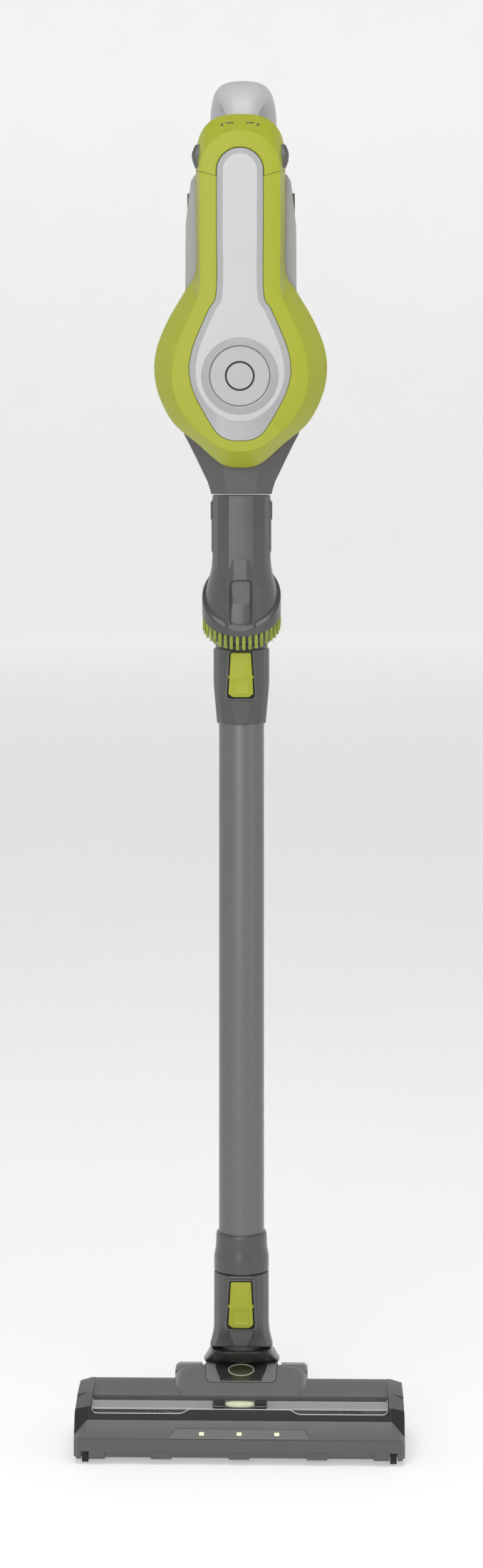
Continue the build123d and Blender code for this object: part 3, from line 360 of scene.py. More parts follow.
def finishes(look):
    """Every finish of the vacuum by its plain name, made once."""
    made = bpy.data.materials
    if "green shell" not in made:
        green = tuple(look.green)
        moulded("green shell", green, 0.4, 1100, 0.05, 0.015, coat=0.04, specular=0.25)
        moulded("green button", green, 0.38, 1000, 0.05, 0.015, coat=0.06, specular=0.25)
        moulded("silver plate", tuple(look.silver), 0.32, 1500, 0.02, 0.006, coat=0.2, uneven=0.008)
        moulded("silver bevel", dimmed(look.silver, 0.78), 0.3, 1500, 0.02, 0.01, coat=0.3, uneven=0.01)
        moulded("silver badge", dimmed(look.silver, 0.8), 0.3, 1500, 0.02, 0.01, coat=0.2, uneven=0.01)
        moulded("light grey shell", tuple(look.light_grey), 0.42, 900, 0.06, 0.015)
        moulded("housing shell", dimmed(look.light_grey, 0.8), 0.42, 900, 0.06, 0.02)
        moulded("mid grey plastic", tuple(look.mid_grey), 0.42, 900, 0.06, 0.02, specular=0.4)
        # the cover's grey made much darker for the steep front wall of the floor head: painted shade where
        # the light falls away
        moulded("painted shade wall plastic", dimmed(look.mid_grey, 0.22), 0.5, 1000, 0.05, 0.03, specular=0.2)
        moulded("sleeve plastic", tuple(look.sleeve), 0.32, 1100, 0.025, 0.03, coat=0.2)
        moulded("panel grey plastic", dimmed(look.mid_grey, 1.3), 0.36, 1000, 0.05, 0.02)
        moulded("graphite plastic", tuple(look.graphite), 0.42, 900, 0.06, 0.03)
        moulded("dark plastic", tuple(look.dark), 0.5, 800, 0.12, 0.05, specular=0.4)
        moulded("black rubber", (0.02, 0.02, 0.02), 0.75, 500, 0.3, 0.1, specular=0.3)
        moulded("bright steel", (0.62, 0.62, 0.62), 0.28, 1500, 0.05, 0.04, metallic=1.0)
        moulded("smoked bonnet", (0.175, 0.175, 0.182), 0.34, 1200, 0.02, 0.012, coat=0.15, uneven=0.008)
        moulded("smoked panel", (0.22, 0.22, 0.225), 0.3, 1200, 0.02, 0.015, coat=0.15, uneven=0.01)
        moulded("olive plastic", (0.06, 0.068, 0.032), 0.32, 1100, 0.04, 0.04, coat=0.1, specular=0.4)
        moulded("gloss dark plastic", (0.035, 0.034, 0.033), 0.28, 1300, 0.02, 0.04, coat=0.15)
        # bright satin finish of the window's edge, and of the strip inside the window, where it is a painted
        # highlight
        moulded("satin edge and painted highlight", (0.55, 0.55, 0.55), 0.34, 1400, 0.04, 0.02, metallic=0.3)
        moulded("pale print", (0.62, 0.64, 0.52), 0.4, 1200, 0.03, 0.03)
        moulded("circuit board", (0.02, 0.12, 0.06), 0.4, 600, 0.2, 0.1)
        moulded("cell wrap", (0.05, 0.18, 0.32), 0.3, 600, 0.05, 0.05, coat=0.3)
        moulded("filter pleats", (0.72, 0.72, 0.68), 0.85, 400, 0.4, 0.06)
        lacquered("tube lacquer", tuple(look.tube), 0.36)
        clear("clear window", (0.30, 0.31, 0.30), 0.12)
        clear("smoked bin", (0.13, 0.13, 0.13), 0.5)
        clear("green duct", (0.42, 0.48, 0.12), 0.6)
        bristle("green bristles", (0.31, 0.38, 0.035))
        bristle("roller bristles", (0.16, 0.16, 0.15))
        # lamp lenses and indicators, and also the pale oval in the window, where the glow is painted light
        glowing_lens("glow finish", (0.80, 0.83, 0.58))
    return made


NODE_FINISH = {
    "dark plastic": ["badge_plate", "neck_yoke", "chassis", "battery_case", "vent_grilles",
                     "mode_slider", "charging_socket", "bin_latch"],
    "mid grey plastic": ["head_cover", "headlight_panel"],
    "smoked bonnet": ["head_bonnet"],
    "green duct": ["suction_duct"],
    "black rubber": ["squeegee", "drive_belt", "front_wheel_left", "front_wheel_right", "rear_wheel_left",
                     "rear_wheel_right"],
    "bright steel": ["head_screws", "roller_motor", "wheel_axles", "suction_motor", "cyclone_shroud"],
    "graphite plastic": ["head_base", "motor_pulley", "brush_roll_core", "neck_socket", "wand_lower_collar",
                         "wand_upper_collar", "nozzle_sleeve", "tool_latch_left", "tool_latch_right",
                         "dusting_brush_collar", "inlet_funnel", "battery_button_left",
                         "battery_button_right", "fan_rotor"],
    "roller bristles": ["brush_roll_bristles"],
    "glow finish": ["headlight_leds", "indicator_lights"],
    "clear window": ["head_window"],
    "green shell": ["front_shield", "battery_cap"],
    "green button": ["neck_button", "wand_button", "trigger"],
    "tube lacquer": ["wand_tube"],
    "green bristles": ["dusting_brush_bristles"],
    "silver plate": ["trim_plate", "boss_ring", "badge_disc"],
    "light grey shell": ["handle_left", "handle_right"],
    "housing shell": ["motor_housing_left", "motor_housing_right"],
    "smoked bin": ["dust_bin", "bin_lid"],
    "cell wrap": ["battery_cells"],
    "circuit board": ["control_board"],
    "filter pleats": ["filter_cartridge"],
}


# ---- settings -----------------------------------------------------------------------------
def colour(name, description, default):
    """A colour setting."""
    return bpy.props.FloatVectorProperty(name=name, description=description, default=default, size=3,
                                         min=0.0, max=1.0, subtype="COLOR")


class VacuumLook(bpy.types.PropertyGroup):
    """Colours of the vacuum, in linear light."""

    green: colour("Green", "Colour of the shield, the battery cap and the buttons", (0.345, 0.375, 0.028))
    silver: colour("Silver", "Colour of the trim plate and the round badge", (0.475, 0.475, 0.485))
    light_grey: colour("Light grey", "Colour of the motor housing and the handle", (0.46, 0.46, 0.465))
    mid_grey: colour("Mid grey", "Colour of the floor head's cover", (0.135, 0.135, 0.134))
    graphite: colour("Graphite", "Colour of collars, sleeves and the neck", (0.09, 0.089, 0.086))
    sleeve: colour("Sleeve", "Colour of the glossy collars, sleeves and neck", (0.068, 0.067, 0.066))
    dark: colour("Dark", "Colour of the sole, the chassis and the yoke", (0.065, 0.064, 0.062))
    tube: colour("Tube", "Colour of the lacquered wand tube", (0.15, 0.149, 0.146))


class VacuumSizes(bpy.types.PropertyGroup):
    """Sizes of the surfaced pieces, in millimetres."""

    tuft_count: bpy.props.IntProperty(name="Brush tufts", description="Tufts round the dusting brush",
                                      default=38, min=12, max=60)
    tuft_length: bpy.props.FloatProperty(name="Tuft length", description="Visible length of a brush tuft",
                                         default=11.4, min=4.0, max=20.0)


class StickVacuumSettings(bpy.types.PropertyGroup):
    """All settings of the stick vacuum."""

    look: bpy.props.PointerProperty(type=VacuumLook, name="Look", description="Colours")
    sizes: bpy.props.PointerProperty(type=VacuumSizes, name="Sizes", description="Sizes")


# ---- pieces -------------------------------------------------------------------------------
class VacuumFinishes(bpy.types.Operator):
    """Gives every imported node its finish"""

    bl_idname = "vacuum.finishes"
    bl_label = "Node finishes"

    def execute(self, context):
        made = finishes(context.scene.stick_vacuum.look)
        for finish, nodes in NODE_FINISH.items():
            for node in nodes:
                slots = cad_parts[node].material_slots
                for index in range(len(slots)):
                    slots[index].material = made[finish]
        return {"FINISHED"}


# the round backdrop in metres, and the three soft lamps
WALL_RADIUS, WALL_BEND, WALL_HEIGHT, WALL_STEPS = 14.0, 3.0, 9.0, 96
LAMPS = [
    # name, place in metres, turn in degrees, width and height, watts
    ("lamp_front", (-0.5, -2.6, 1.3), (84, 0, -11), (1.1, 1.9), 19),
    ("lamp_right", (1.8, -1.2, 0.9), (90, 0, 56), (0.7, 1.8), 2.0),
    ("lamp_top", (0, -0.7, 2.5), (16, 0, 0), (1.6, 1.0), 20),
]


class VacuumStage(bpy.types.Operator):
    """Adds the floor, the soft lights and the camera"""

    bl_idname = "vacuum.stage"
    bl_label = "Stage"

    def execute(self, context):
        scene = context.scene
        # floor and wall as one turned profile, so that every side has the same backdrop
        bend = np.linspace(0, np.pi / 2, 24)
        radius = np.r_[0.02, WALL_RADIUS - WALL_BEND + WALL_BEND * np.sin(bend), WALL_RADIUS]
        height = np.r_[0, WALL_BEND - WALL_BEND * np.cos(bend), WALL_HEIGHT]
        turn = np.linspace(0, 2 * np.pi, WALL_STEPS, endpoint=False)[None]
        points = np.stack([radius[:, None] * np.sin(turn), radius[:, None] * np.cos(turn),
                           np.broadcast_to(height[:, None], (len(radius), WALL_STEPS))], axis=-1)
        ring, level = np.arange(WALL_STEPS), np.arange(len(radius) - 1)[:, None] * WALL_STEPS
        beside, above = (ring + 1) % WALL_STEPS, level + WALL_STEPS
        quads = np.stack(np.broadcast_arrays(level + ring, above + ring, above + beside, level + beside),
                         axis=-1).reshape(-1, 4)
        floor_mesh = bpy.data.meshes.new("studio_floor")
        floor_mesh.from_pydata(points.reshape(-1, 3).tolist(), [], quads.tolist())
        tidy_mesh(floor_mesh)
        floor_mesh.polygons.foreach_set("use_smooth", np.full(len(floor_mesh.polygons), True))
        floor = bpy.data.objects.new("studio_floor", floor_mesh)
        scene.collection.objects.link(floor)
        pale, tree, shader, at = finish_nodes("pale floor")
        tree.links.new(shades(tree, noise(tree, at, 3.0), (0.86, 0.86, 0.86), (0.88, 0.88, 0.88)),
                       shader.inputs["Base Color"])
        shader.inputs["Roughness"].default_value = 0.8
        shader.inputs["Emission Color"].default_value = (1, 1, 1, 1)
        shader.inputs["Emission Strength"].default_value = 0.36
        floor_mesh.materials.append(pale)
        world = bpy.data.worlds.new("studio_air")
        world.use_nodes = True
        world.node_tree.nodes["Background"].inputs["Color"].default_value = (1, 1, 1, 1)
        world.node_tree.nodes["Background"].inputs["Strength"].default_value = 0.2
        scene.world = world
        for name, spot, turn, size, power in LAMPS:
            lamp = bpy.data.lights.new(name, "AREA")
            lamp.shape, lamp.size, lamp.size_y, lamp.energy = "RECTANGLE", *size, power
            holder = bpy.data.objects.new(name, lamp)
            holder.location, holder.rotation_euler = spot, [radians(a) for a in turn]
            scene.collection.objects.link(holder)
        lens = bpy.data.cameras.new("camera")
        lens.sensor_fit, lens.sensor_height, lens.sensor_width = "VERTICAL", 36.0, 36.0
        lens.lens, lens.shift_y = 63.16, -0.1909
        camera = bpy.data.objects.new("camera", lens)
        camera.location = (0.049, -2.2, 0.754)
        camera.rotation_euler = (radians(90), 0, radians(1.276))
        scene.collection.objects.link(camera)
        scene.camera = camera
        scene.view_settings.view_transform = "Standard"
        return {"FINISHED"}


# ---- outlines of the hand unit ------------------------------------------------------------
EDGE_HALF = [(0, 767.5), (15.5, 770.6), (34, 786.2), (53, 802.6), (64.4, 824), (68.2, 844), (66, 862.5),
             (57.5, 883.4), (45, 905), (35.6, 922), (35.3, 960), (35.3, 1000.8)]
FACE_HALF = [(0, 779.8), (15, 782.6), (28.5, 792), (42.2, 806), (50.9, 823.5), (53.3, 839), (51, 857),
             (46, 871), (37.4, 890.5), (31.6, 906.5), (31.4, 955), (31.4, 998.1)]
TRIM_HALF = [(0, 787.9), (10.5, 789.3), (18.6, 794.8), (28.6, 810.6), (36.6, 826.6), (39.9, 843), (37.6, 859),
             (32, 874), (24.4, 891), (18.6, 904.5), (18.4, 955), (18.4, 994.4)]
INNER_HALF = [(0, 803.2), (9, 804.4), (17.5, 808.8), (25.6, 816.2), (32.4, 828), (34.8, 841.5), (32.8, 857),
              (27.4, 872), (19.8, 889), (13.8, 903.5), (13.6, 955), (13.6, 996)]
FACE_DEPTH, BACK_DEPTH = -57.0, -28.0
ARCH_CENTRE = 998.7
BADGE_CENTRE = (0, 838.6)
BIN_CENTRE, LID_HINGE = (0, 844.5), (70, 779.5)


def full_line(half, count):
    """Mirrors a half line about x = 0 and runs a smooth line through it, from left seam to right seam."""
    half = np.array(half, float)
    return smooth_line(np.vstack([half[:0:-1] * (-1, 1), half]), count)


def arch(radius, power, height, low, count):
    """Crown of the neck from right to left: x = r cos^p(t), z = low + h sin^p(t)."""
    t = np.linspace(0, np.pi, count)
    cosine, sine = np.cos(t), np.sin(t)
    return np.stack([radius * np.sign(cosine) * np.abs(cosine) ** power, low + height * sine ** power],
                    axis=-1)


def hood_strip(name, trim, face, edge, body, material, node):
    """Bevelled moulding between the trim line, the flat face and the widest edge.

    Each row blends two of the three lines and has its own depth, so the section is a closed hollow shell.
    """
    rows = [(trim, face, 0.0, -52.6), (trim, face, 0.0, -56.5), (trim, face, 0.035, FACE_DEPTH),
            (trim, face, 0.965, FACE_DEPTH), (face, edge, 0.01, -56.8), (face, edge, 0.045, -56.2),
            (face, edge, 0.96, -34.4), (face, edge, 0.995, -33.2), (face, edge, 1.0, -32.0),
            (face, edge, 1.0, -28.6), (face, edge, 0.97, BACK_DEPTH), (face, edge, 0.88, BACK_DEPTH),
            (face, edge, 0.86, -33.0), (trim, face, 0.95, -54.4), (trim, face, 0.12, -54.4),
            (trim, face, 0.1, -52.6)]
    grid = np.stack([place(a * (1 - k) + b * k, depth, "front") for a, b, k, depth in rows])
    middle = grid.mean(axis=0, keepdims=True)
    grid = np.concatenate([np.repeat(middle[:, :1], len(rows), 0), grid,
                           np.repeat(middle[:, -1:], len(rows), 0)], axis=1)
    surface(name, grid, body, material, closed=(False, True), sharp=24, slot="green_plastic", nodes=(node,))


class VacuumShield(bpy.types.Operator):
    """Green shield of the hand unit and the battery cap above it"""

    bl_idname = "vacuum.shield"
    bl_label = "Shield and battery cap"

    def execute(self, context):
        made = finishes(context.scene.stick_vacuum.look)
        lines = [full_line(half, 260) for half in (TRIM_HALF, FACE_HALF, EDGE_HALF)]
        hood_strip("shield", *lines, "hand_unit", made["green shell"], "front_shield")
        # the cap: upright sides from the sloping seam, then the crown
        count = 90
        crowns = [arch(18.7, 1.0, 18.7, ARCH_CENTRE, count), arch(31.4, 1.0, 31.4, ARCH_CENTRE, count),
                  arch(35.3, 0.72, 40.0, 1006.0, count)]
        feet = [(18.7, 994.8), (31.4, 998.5), (35.3, 1001.2)]
        strips = []
        for crown, (x, z) in zip(crowns, feet):
            rise = np.linspace(0, 1, 8)[:-1, None]
            right = np.array([[x, z]]) * (1 - rise) + crown[:1] * rise
            strips.append(np.vstack([right, crown, (right * (-1, 1))[::-1]]))
        hood_strip("cap", *strips, "battery", made["green shell"], "battery_cap")
        # roof of the cap over the battery, behind the crown
        crown = arch(34.6, 0.72, 39.2, 1006.0, 60)
        crown = np.vstack([[[34.6, 1003]], crown, [[-34.6, 1003]]])
        rows = [(0, -29.0), (0.3, -20.0), (1.0, -8.0), (2.4, -3.0), (4.5, -1.2)]
        outer = [place(np.stack([crown[:, 0] * (1 - k / 36), crown[:, 1] - k], -1), d, "front")
                 for k, d in rows]
        inner = [place(np.stack([crown[:, 0] * (1 - (k + 2.2) / 36), crown[:, 1] - k - 2.2], -1), d + e,
                       "front")
                 for k, d, e in [(4.5, -1.2, -1.6), (2.4, -3.0, 0), (0, -29.0, 0)]]
        surface("cap_roof", np.stack(outer + inner), "battery", made["green shell"],
                closed=(False, True), sharp=40, slot="green_plastic")
        return {"FINISHED"}


class VacuumBattery(bpy.types.Operator):
    """The two battery release keys with their sloping upper faces, and the plain prints on the cap"""

    bl_idname = "vacuum.battery"
    bl_label = "Battery keys and prints"

    def execute(self, context):
        made = finishes(context.scene.stick_vacuum.look)
        levels = [(1002.6, 35.0, -44.0), (1003.2, 35.6, -45.4), (1005.0, 36.5, -46.6), (1008.5, 37.7, -46.9),
                  (1012.6, 38.1, -46.9), (1013.4, 38.1, -46.4), (1017.0, 37.3, -43.6), (1020.6, 35.9, -40.8),
                  (1021.4, 35.0, -40.0)]
        for side, word in ((-1, "left"), (1, "right")):
            sections = [(rounded([(side * 28, front), (side * (x - 2.6), front), (side * x, front + 2.6),
                                  (side * x, -33), (side * 28, -33)], [0.2, 1.2, 1.2, 0.4, 0.2], 5), z)
                        for z, x, front in levels]
            stack(f"battery_key_{word}", sections, f"battery_key_{word}", made["graphite plastic"], sharp=20,
                  slot="graphite_plastic", nodes=(f"battery_button_{word}",))
        turn = np.linspace(0, 2 * np.pi, 24, endpoint=False)
        dot = 1.1 * np.stack([np.cos(turn), np.sin(turn)], axis=-1)
        bar = rounded([(-3.2, -0.5), (3.2, -0.5), (3.2, 0.5), (-3.2, 0.5)], 0.3, 3)
        rows = [(0, -56.8), (0, -57.14), (0.1, -57.18)]
        for k, (flat, x) in enumerate(((dot, -14), (bar, -8), (bar, 8), (dot, 14))):
            slab(f"cap_print_{k}", flat + (x, 1038.0 - abs(x) * 0.25), rows, "front", "battery",
                 made["olive plastic"], slot="green_plastic")
        return {"FINISHED"}


class VacuumBin(bpy.types.Operator):
    """Round smoky dust bin, its hinged lid behind, and the lid's latch"""

    bl_idname = "vacuum.bin"
    bl_label = "Dust bin"

    def execute(self, context):
        made = finishes(context.scene.stick_vacuum.look)
        profile = soften([(0.05, -24.3), (61.0, -24.3), (62.0, -23.3), (62.0, 65.6), (60.0, 65.6),
                          (60.0, -22.3), (0.05, -22.3)], 0.8)
        lathe("bin_shell", profile, "bin", made["smoked bin"], centre=BIN_CENTRE, axis="y", count=128,
              closed=(True, True), sharp=30, slot="smoke_clear", nodes=("dust_bin",))
        lathe("bin_ring", [(62.0, 58.0), (62.6, 58.4), (62.6, 60.6), (62.0, 61.0)], "bin",
              made["smoked bin"], centre=BIN_CENTRE, axis="y", count=128, closed=(True, True),
              slot="smoke_clear")
        lathe("lid_shell", soften([(0.05, 66.3), (62.0, 66.3), (62.0, 73.4), (60.4, 75.0), (52.0, 75.0),
                                   (50.6, 73.8), (0.05, 73.8)], 0.7), "lid", made["smoked bin"],
              centre=BIN_CENTRE, axis="y", count=128, closed=(True, True), sharp=30, slot="smoke_clear",
              nodes=("bin_lid",))
        knuckles = [("lid_knuckle", -7.8, 7.8, "lid"), ("bin_knuckle_left", -17.5, -8.5, "bin"),
                    ("bin_knuckle_right", 8.5, 17.5, "bin")]
        for name, start, end, body in knuckles:
            lathe(name, [(1.5, start), (2.8, start), (3.2, start + 0.5), (3.2, end - 0.5), (2.8, end),
                         (1.5, end)], body, made["smoked bin"], centre=LID_HINGE, axis="x",
                  closed=(True, True), count=32, slot="smoke_clear")
        outline = rounded([(-7.8, 899.6), (7.8, 899.6), (7.8, 911), (-7.8, 911)], 1.6, 5)
        slab("lid_catch", outline, [(0.4, 70.2), (0, 70.6), (0, 74.9), (0.4, 75.6), (1.4, 76)], "front",
             "lid_latch", made["dark plastic"], slot="dark_plastic", nodes=("bin_latch",))
        return {"FINISHED"}


class VacuumTrim(bpy.types.Operator):
    """Silver trim plate with its ring boss and plain round badge"""

    bl_idname = "vacuum.trim"
    bl_label = "Trim plate and badge"

    def execute(self, context):
        made = finishes(context.scene.stick_vacuum.look)
        loops = []
        for half, radius in ((TRIM_HALF, 18.4), (INNER_HALF, 13.6)):
            line = full_line(half, 241)
            crown = arch(radius, 1.0, radius, ARCH_CENTRE, 60)
            loops.append(np.vstack([line, crown]))
        outer, inner = loops
        bevel = [(inset(outer, 0.25), -53.0), (inset(outer, 0.25), -56.3), (inset(outer, 0.6), -56.7),
                 (inset(inner, -0.4), -57.8), (inset(inner, 0.0), -57.95), (inset(inner, 0.4), -57.6)]
        surface("trim_bevel", np.stack([place(o, d, "front") for o, d in bevel]), "hand_unit",
                made["silver bevel"], ends=False, sharp=14, slot="silver_plastic")
        flat = [(inset(inner, -0.3), -57.4), (inset(inner, 0.05), -57.95), (inset(inner, 0.5), -58.15)]
        surface("trim", np.stack([place(o, d, "front") for o, d in flat]), "hand_unit",
                made["silver plate"], sharp=14, slot="silver_plastic", nodes=("trim_plate",))
        lathe("boss", [(30.6, -57.6), (30.2, -58.2), (29.6, -58.35), (25.2, -61.0), (24.6, -61.15),
                       (23.9, -61.0), (23.7, -60.2), (23.6, -57.4)], "hand_unit", made["silver bevel"],
              centre=BADGE_CENTRE, axis="y", closed=(True, True), count=160, sharp=20, slot="silver_plastic",
              nodes=("boss_ring",))
        lathe("badge", [(0.05, -60.8), (10.9, -60.8), (22.7, -60.8), (23.2, -60.4), (23.25, -57.2)],
              "hand_unit", made["silver badge"], centre=BADGE_CENTRE, axis="y", count=160, sharp=20,
              slot="silver_plastic", nodes=("badge_disc",))
        lathe("badge_inlay", [(10.2, -60.6), (10.2, -60.95), (11.6, -60.95), (11.6, -60.6)],
              "hand_unit", made["black rubber"], centre=BADGE_CENTRE, axis="y", closed=(True, True),
              count=120, slot="dark_plastic")
        return {"FINISHED"}


class VacuumHandle(bpy.types.Operator):
    """Loop handle: a flattened oval carried round a side-view path, widest behind the top of the loop"""

    bl_idname = "vacuum.handle"
    bl_label = "Handle"

    def execute(self, context):
        made = finishes(context.scene.stick_vacuum.look)
        stations = np.array([
            # y, z, half width, half thickness
            (12.5, 996, 13.0, 8.6), (12.5, 1020, 12.6, 8.6), (13.5, 1040, 12.5, 8.8), (18, 1053, 13.4, 9.4),
            (27, 1063, 16.6, 10.6), (39, 1070, 20.5, 11.7), (50, 1071.2, 23.2, 12.1), (61, 1067, 25.6, 12.5),
            (70, 1057, 27.2, 11.8), (75.0, 1043, 26.8, 10.7), (76.6, 1027, 23.4, 10.0),
            (76.8, 1008, 19.2, 9.7),
            (75.6, 985, 17.4, 9.8), (72.8, 962, 17.0, 9.6), (69, 944, 17.4, 9.4), (63, 934, 18.0, 8.8),
            (54, 930, 18.0, 8.4)], float)
        line = smooth_line(stations, 150)
        along = np.gradient(line[:, :2], axis=0)
        along /= np.linalg.norm(along, axis=1, keepdims=True)
        outward = np.stack([-along[:, 1], along[:, 0]], axis=-1)
        turn = np.linspace(0, 2 * np.pi, 64, endpoint=False)
        power = 0.82
        wide = np.sign(np.cos(turn)) * np.abs(np.cos(turn)) ** power
        thick = np.sign(np.sin(turn)) * np.abs(np.sin(turn)) ** power
        x = line[:, 2, None] * wide[None]
        y = line[:, 0, None] + outward[:, 0, None] * line[:, 3, None] * thick[None]
        z = line[:, 1, None] + outward[:, 1, None] * line[:, 3, None] * thick[None]
        surface("handle", np.stack([x, y, z], axis=-1), "hand_unit", made["light grey shell"], sharp=50,
                slot="light_grey_plastic", nodes=("handle_left", "handle_right"))
        return {"FINISHED"}


def flared_section(wide, centre, front, back):
    """Six-sided funnel section with a flat front facet, seen from above, its corners rounded."""
    return rounded([(-centre, -front), (centre, -front), (wide, -front * 0.36), (wide, back * 0.3),
                    (centre * 1.1, back), (-centre * 1.1, back), (-wide, back * 0.3), (-wide, -front * 0.36)],
                   [0.9, 0.9, 3, 6, 6, 6, 6, 3], 6)


def ribbed_section(wide, rib, front, back):
    """Sleeve section: a raised flat rib in front with bevelled flanks, side facets, and a round back."""
    half = [(rib, -front), (rib + 0.5, -front + 0.25), (rib + 3.0, -front + 2.3), (rib + 3.6, -front + 2.5),
            (wide - 4.6, -front * 0.66), (wide - 4.0, -front * 0.62), (wide - 0.9, -front * 0.36),
            (wide, -front * 0.24), (wide, back * 0.3), (rib * 1.3, back)]
    half = np.array(half)
    outline = np.vstack([half, half[::-1] * (-1, 1)])
    return rounded(outline, [0.3] * 8 + [5, 5, 5, 5] + [0.3] * 8, 4)


class VacuumInlet(bpy.types.Operator):
    """Funnel under the shield and the nozzle sleeve below it, with its two latches"""

    bl_idname = "vacuum.inlet"
    bl_label = "Inlet funnel and nozzle sleeve"

    def execute(self, context):
        made = finishes(context.scene.stick_vacuum.look)
        sections = [(746.4, 23.6, 12.2, 23.2, 23.4), (746.9, 24.2, 12.4, 23.7, 24.0),
                    (749.5, 24.8, 12.6, 24.0, 24.0),
                    (756, 26.8, 13.0, 24.4, 24.4), (766, 31.6, 13.8, 25.2, 25.0),
                    (776, 36.4, 14.6, 26.0, 25.6),
                    (786, 41.4, 15.4, 26.8, 26.2), (794, 45.6, 16.0, 27.2, 26.6),
                    (797, 46.4, 16.2, 27.0, 26.6)]
        stack("funnel", [(flared_section(w, c, f, b), z) for z, w, c, f, b in sections],
              "hand_unit", made["graphite plastic"], sharp=20, slot="graphite_plastic",
              nodes=("inlet_funnel",))
        rows = [(628.2, 1.0), (628.8, 0.2), (630, 0), (700, 0), (742, 0), (744.9, 0), (745.6, 0.4),
                (745.9, 1.2)]
        outline = ribbed_section(23.15, 9.4, 23.6, 22.6)
        bored("sleeve", [(inset(outline, i), z) for z, i in rows], 17.2, 716, "nozzle_tool",
              made["sleeve plastic"], sharp=16, slot="graphite_plastic", nodes=("nozzle_sleeve",))
        lathe("sleeve_spigot", soften([(15.5, 640), (15.5, 590), (18.8, 590), (18.8, 640)], 0.8),
              "nozzle_tool", made["sleeve plastic"], closed=(True, True), slot="graphite_plastic")
        outline = rounded([(-6.5, 700), (6.5, 700), (6.5, 742), (-6.5, 742)], 2.5, 6)
        for side, word in ((-1, "left"), (1, "right")):
            rows = [(i, side * d) for i, d in ((0, 19.0), (0, 23.2), (0.3, 23.6), (0.9, 23.8))]
            slab(f"latch_frame_{word}", outline, rows, "side", "nozzle_tool", made["sleeve plastic"],
                 slot="graphite_plastic")
            button = rounded([(-5.4, 726), (5.4, 726), (5.4, 740.6), (-5.4, 740.6)], 1.6, 5)
            rows = [(i, side * d) for i, d in ((0, 22.6), (0, 24.1), (0.3, 24.4), (0.9, 24.6))]
            slab(f"latch_{word}", button, rows, "side", f"latch_{word}", made["graphite plastic"],
                 slot="graphite_plastic", nodes=(f"tool_latch_{word}",))
        return {"FINISHED"}


RIM, RIM_SLOPE, SKIRT = 652.0, 0.571, 31.5


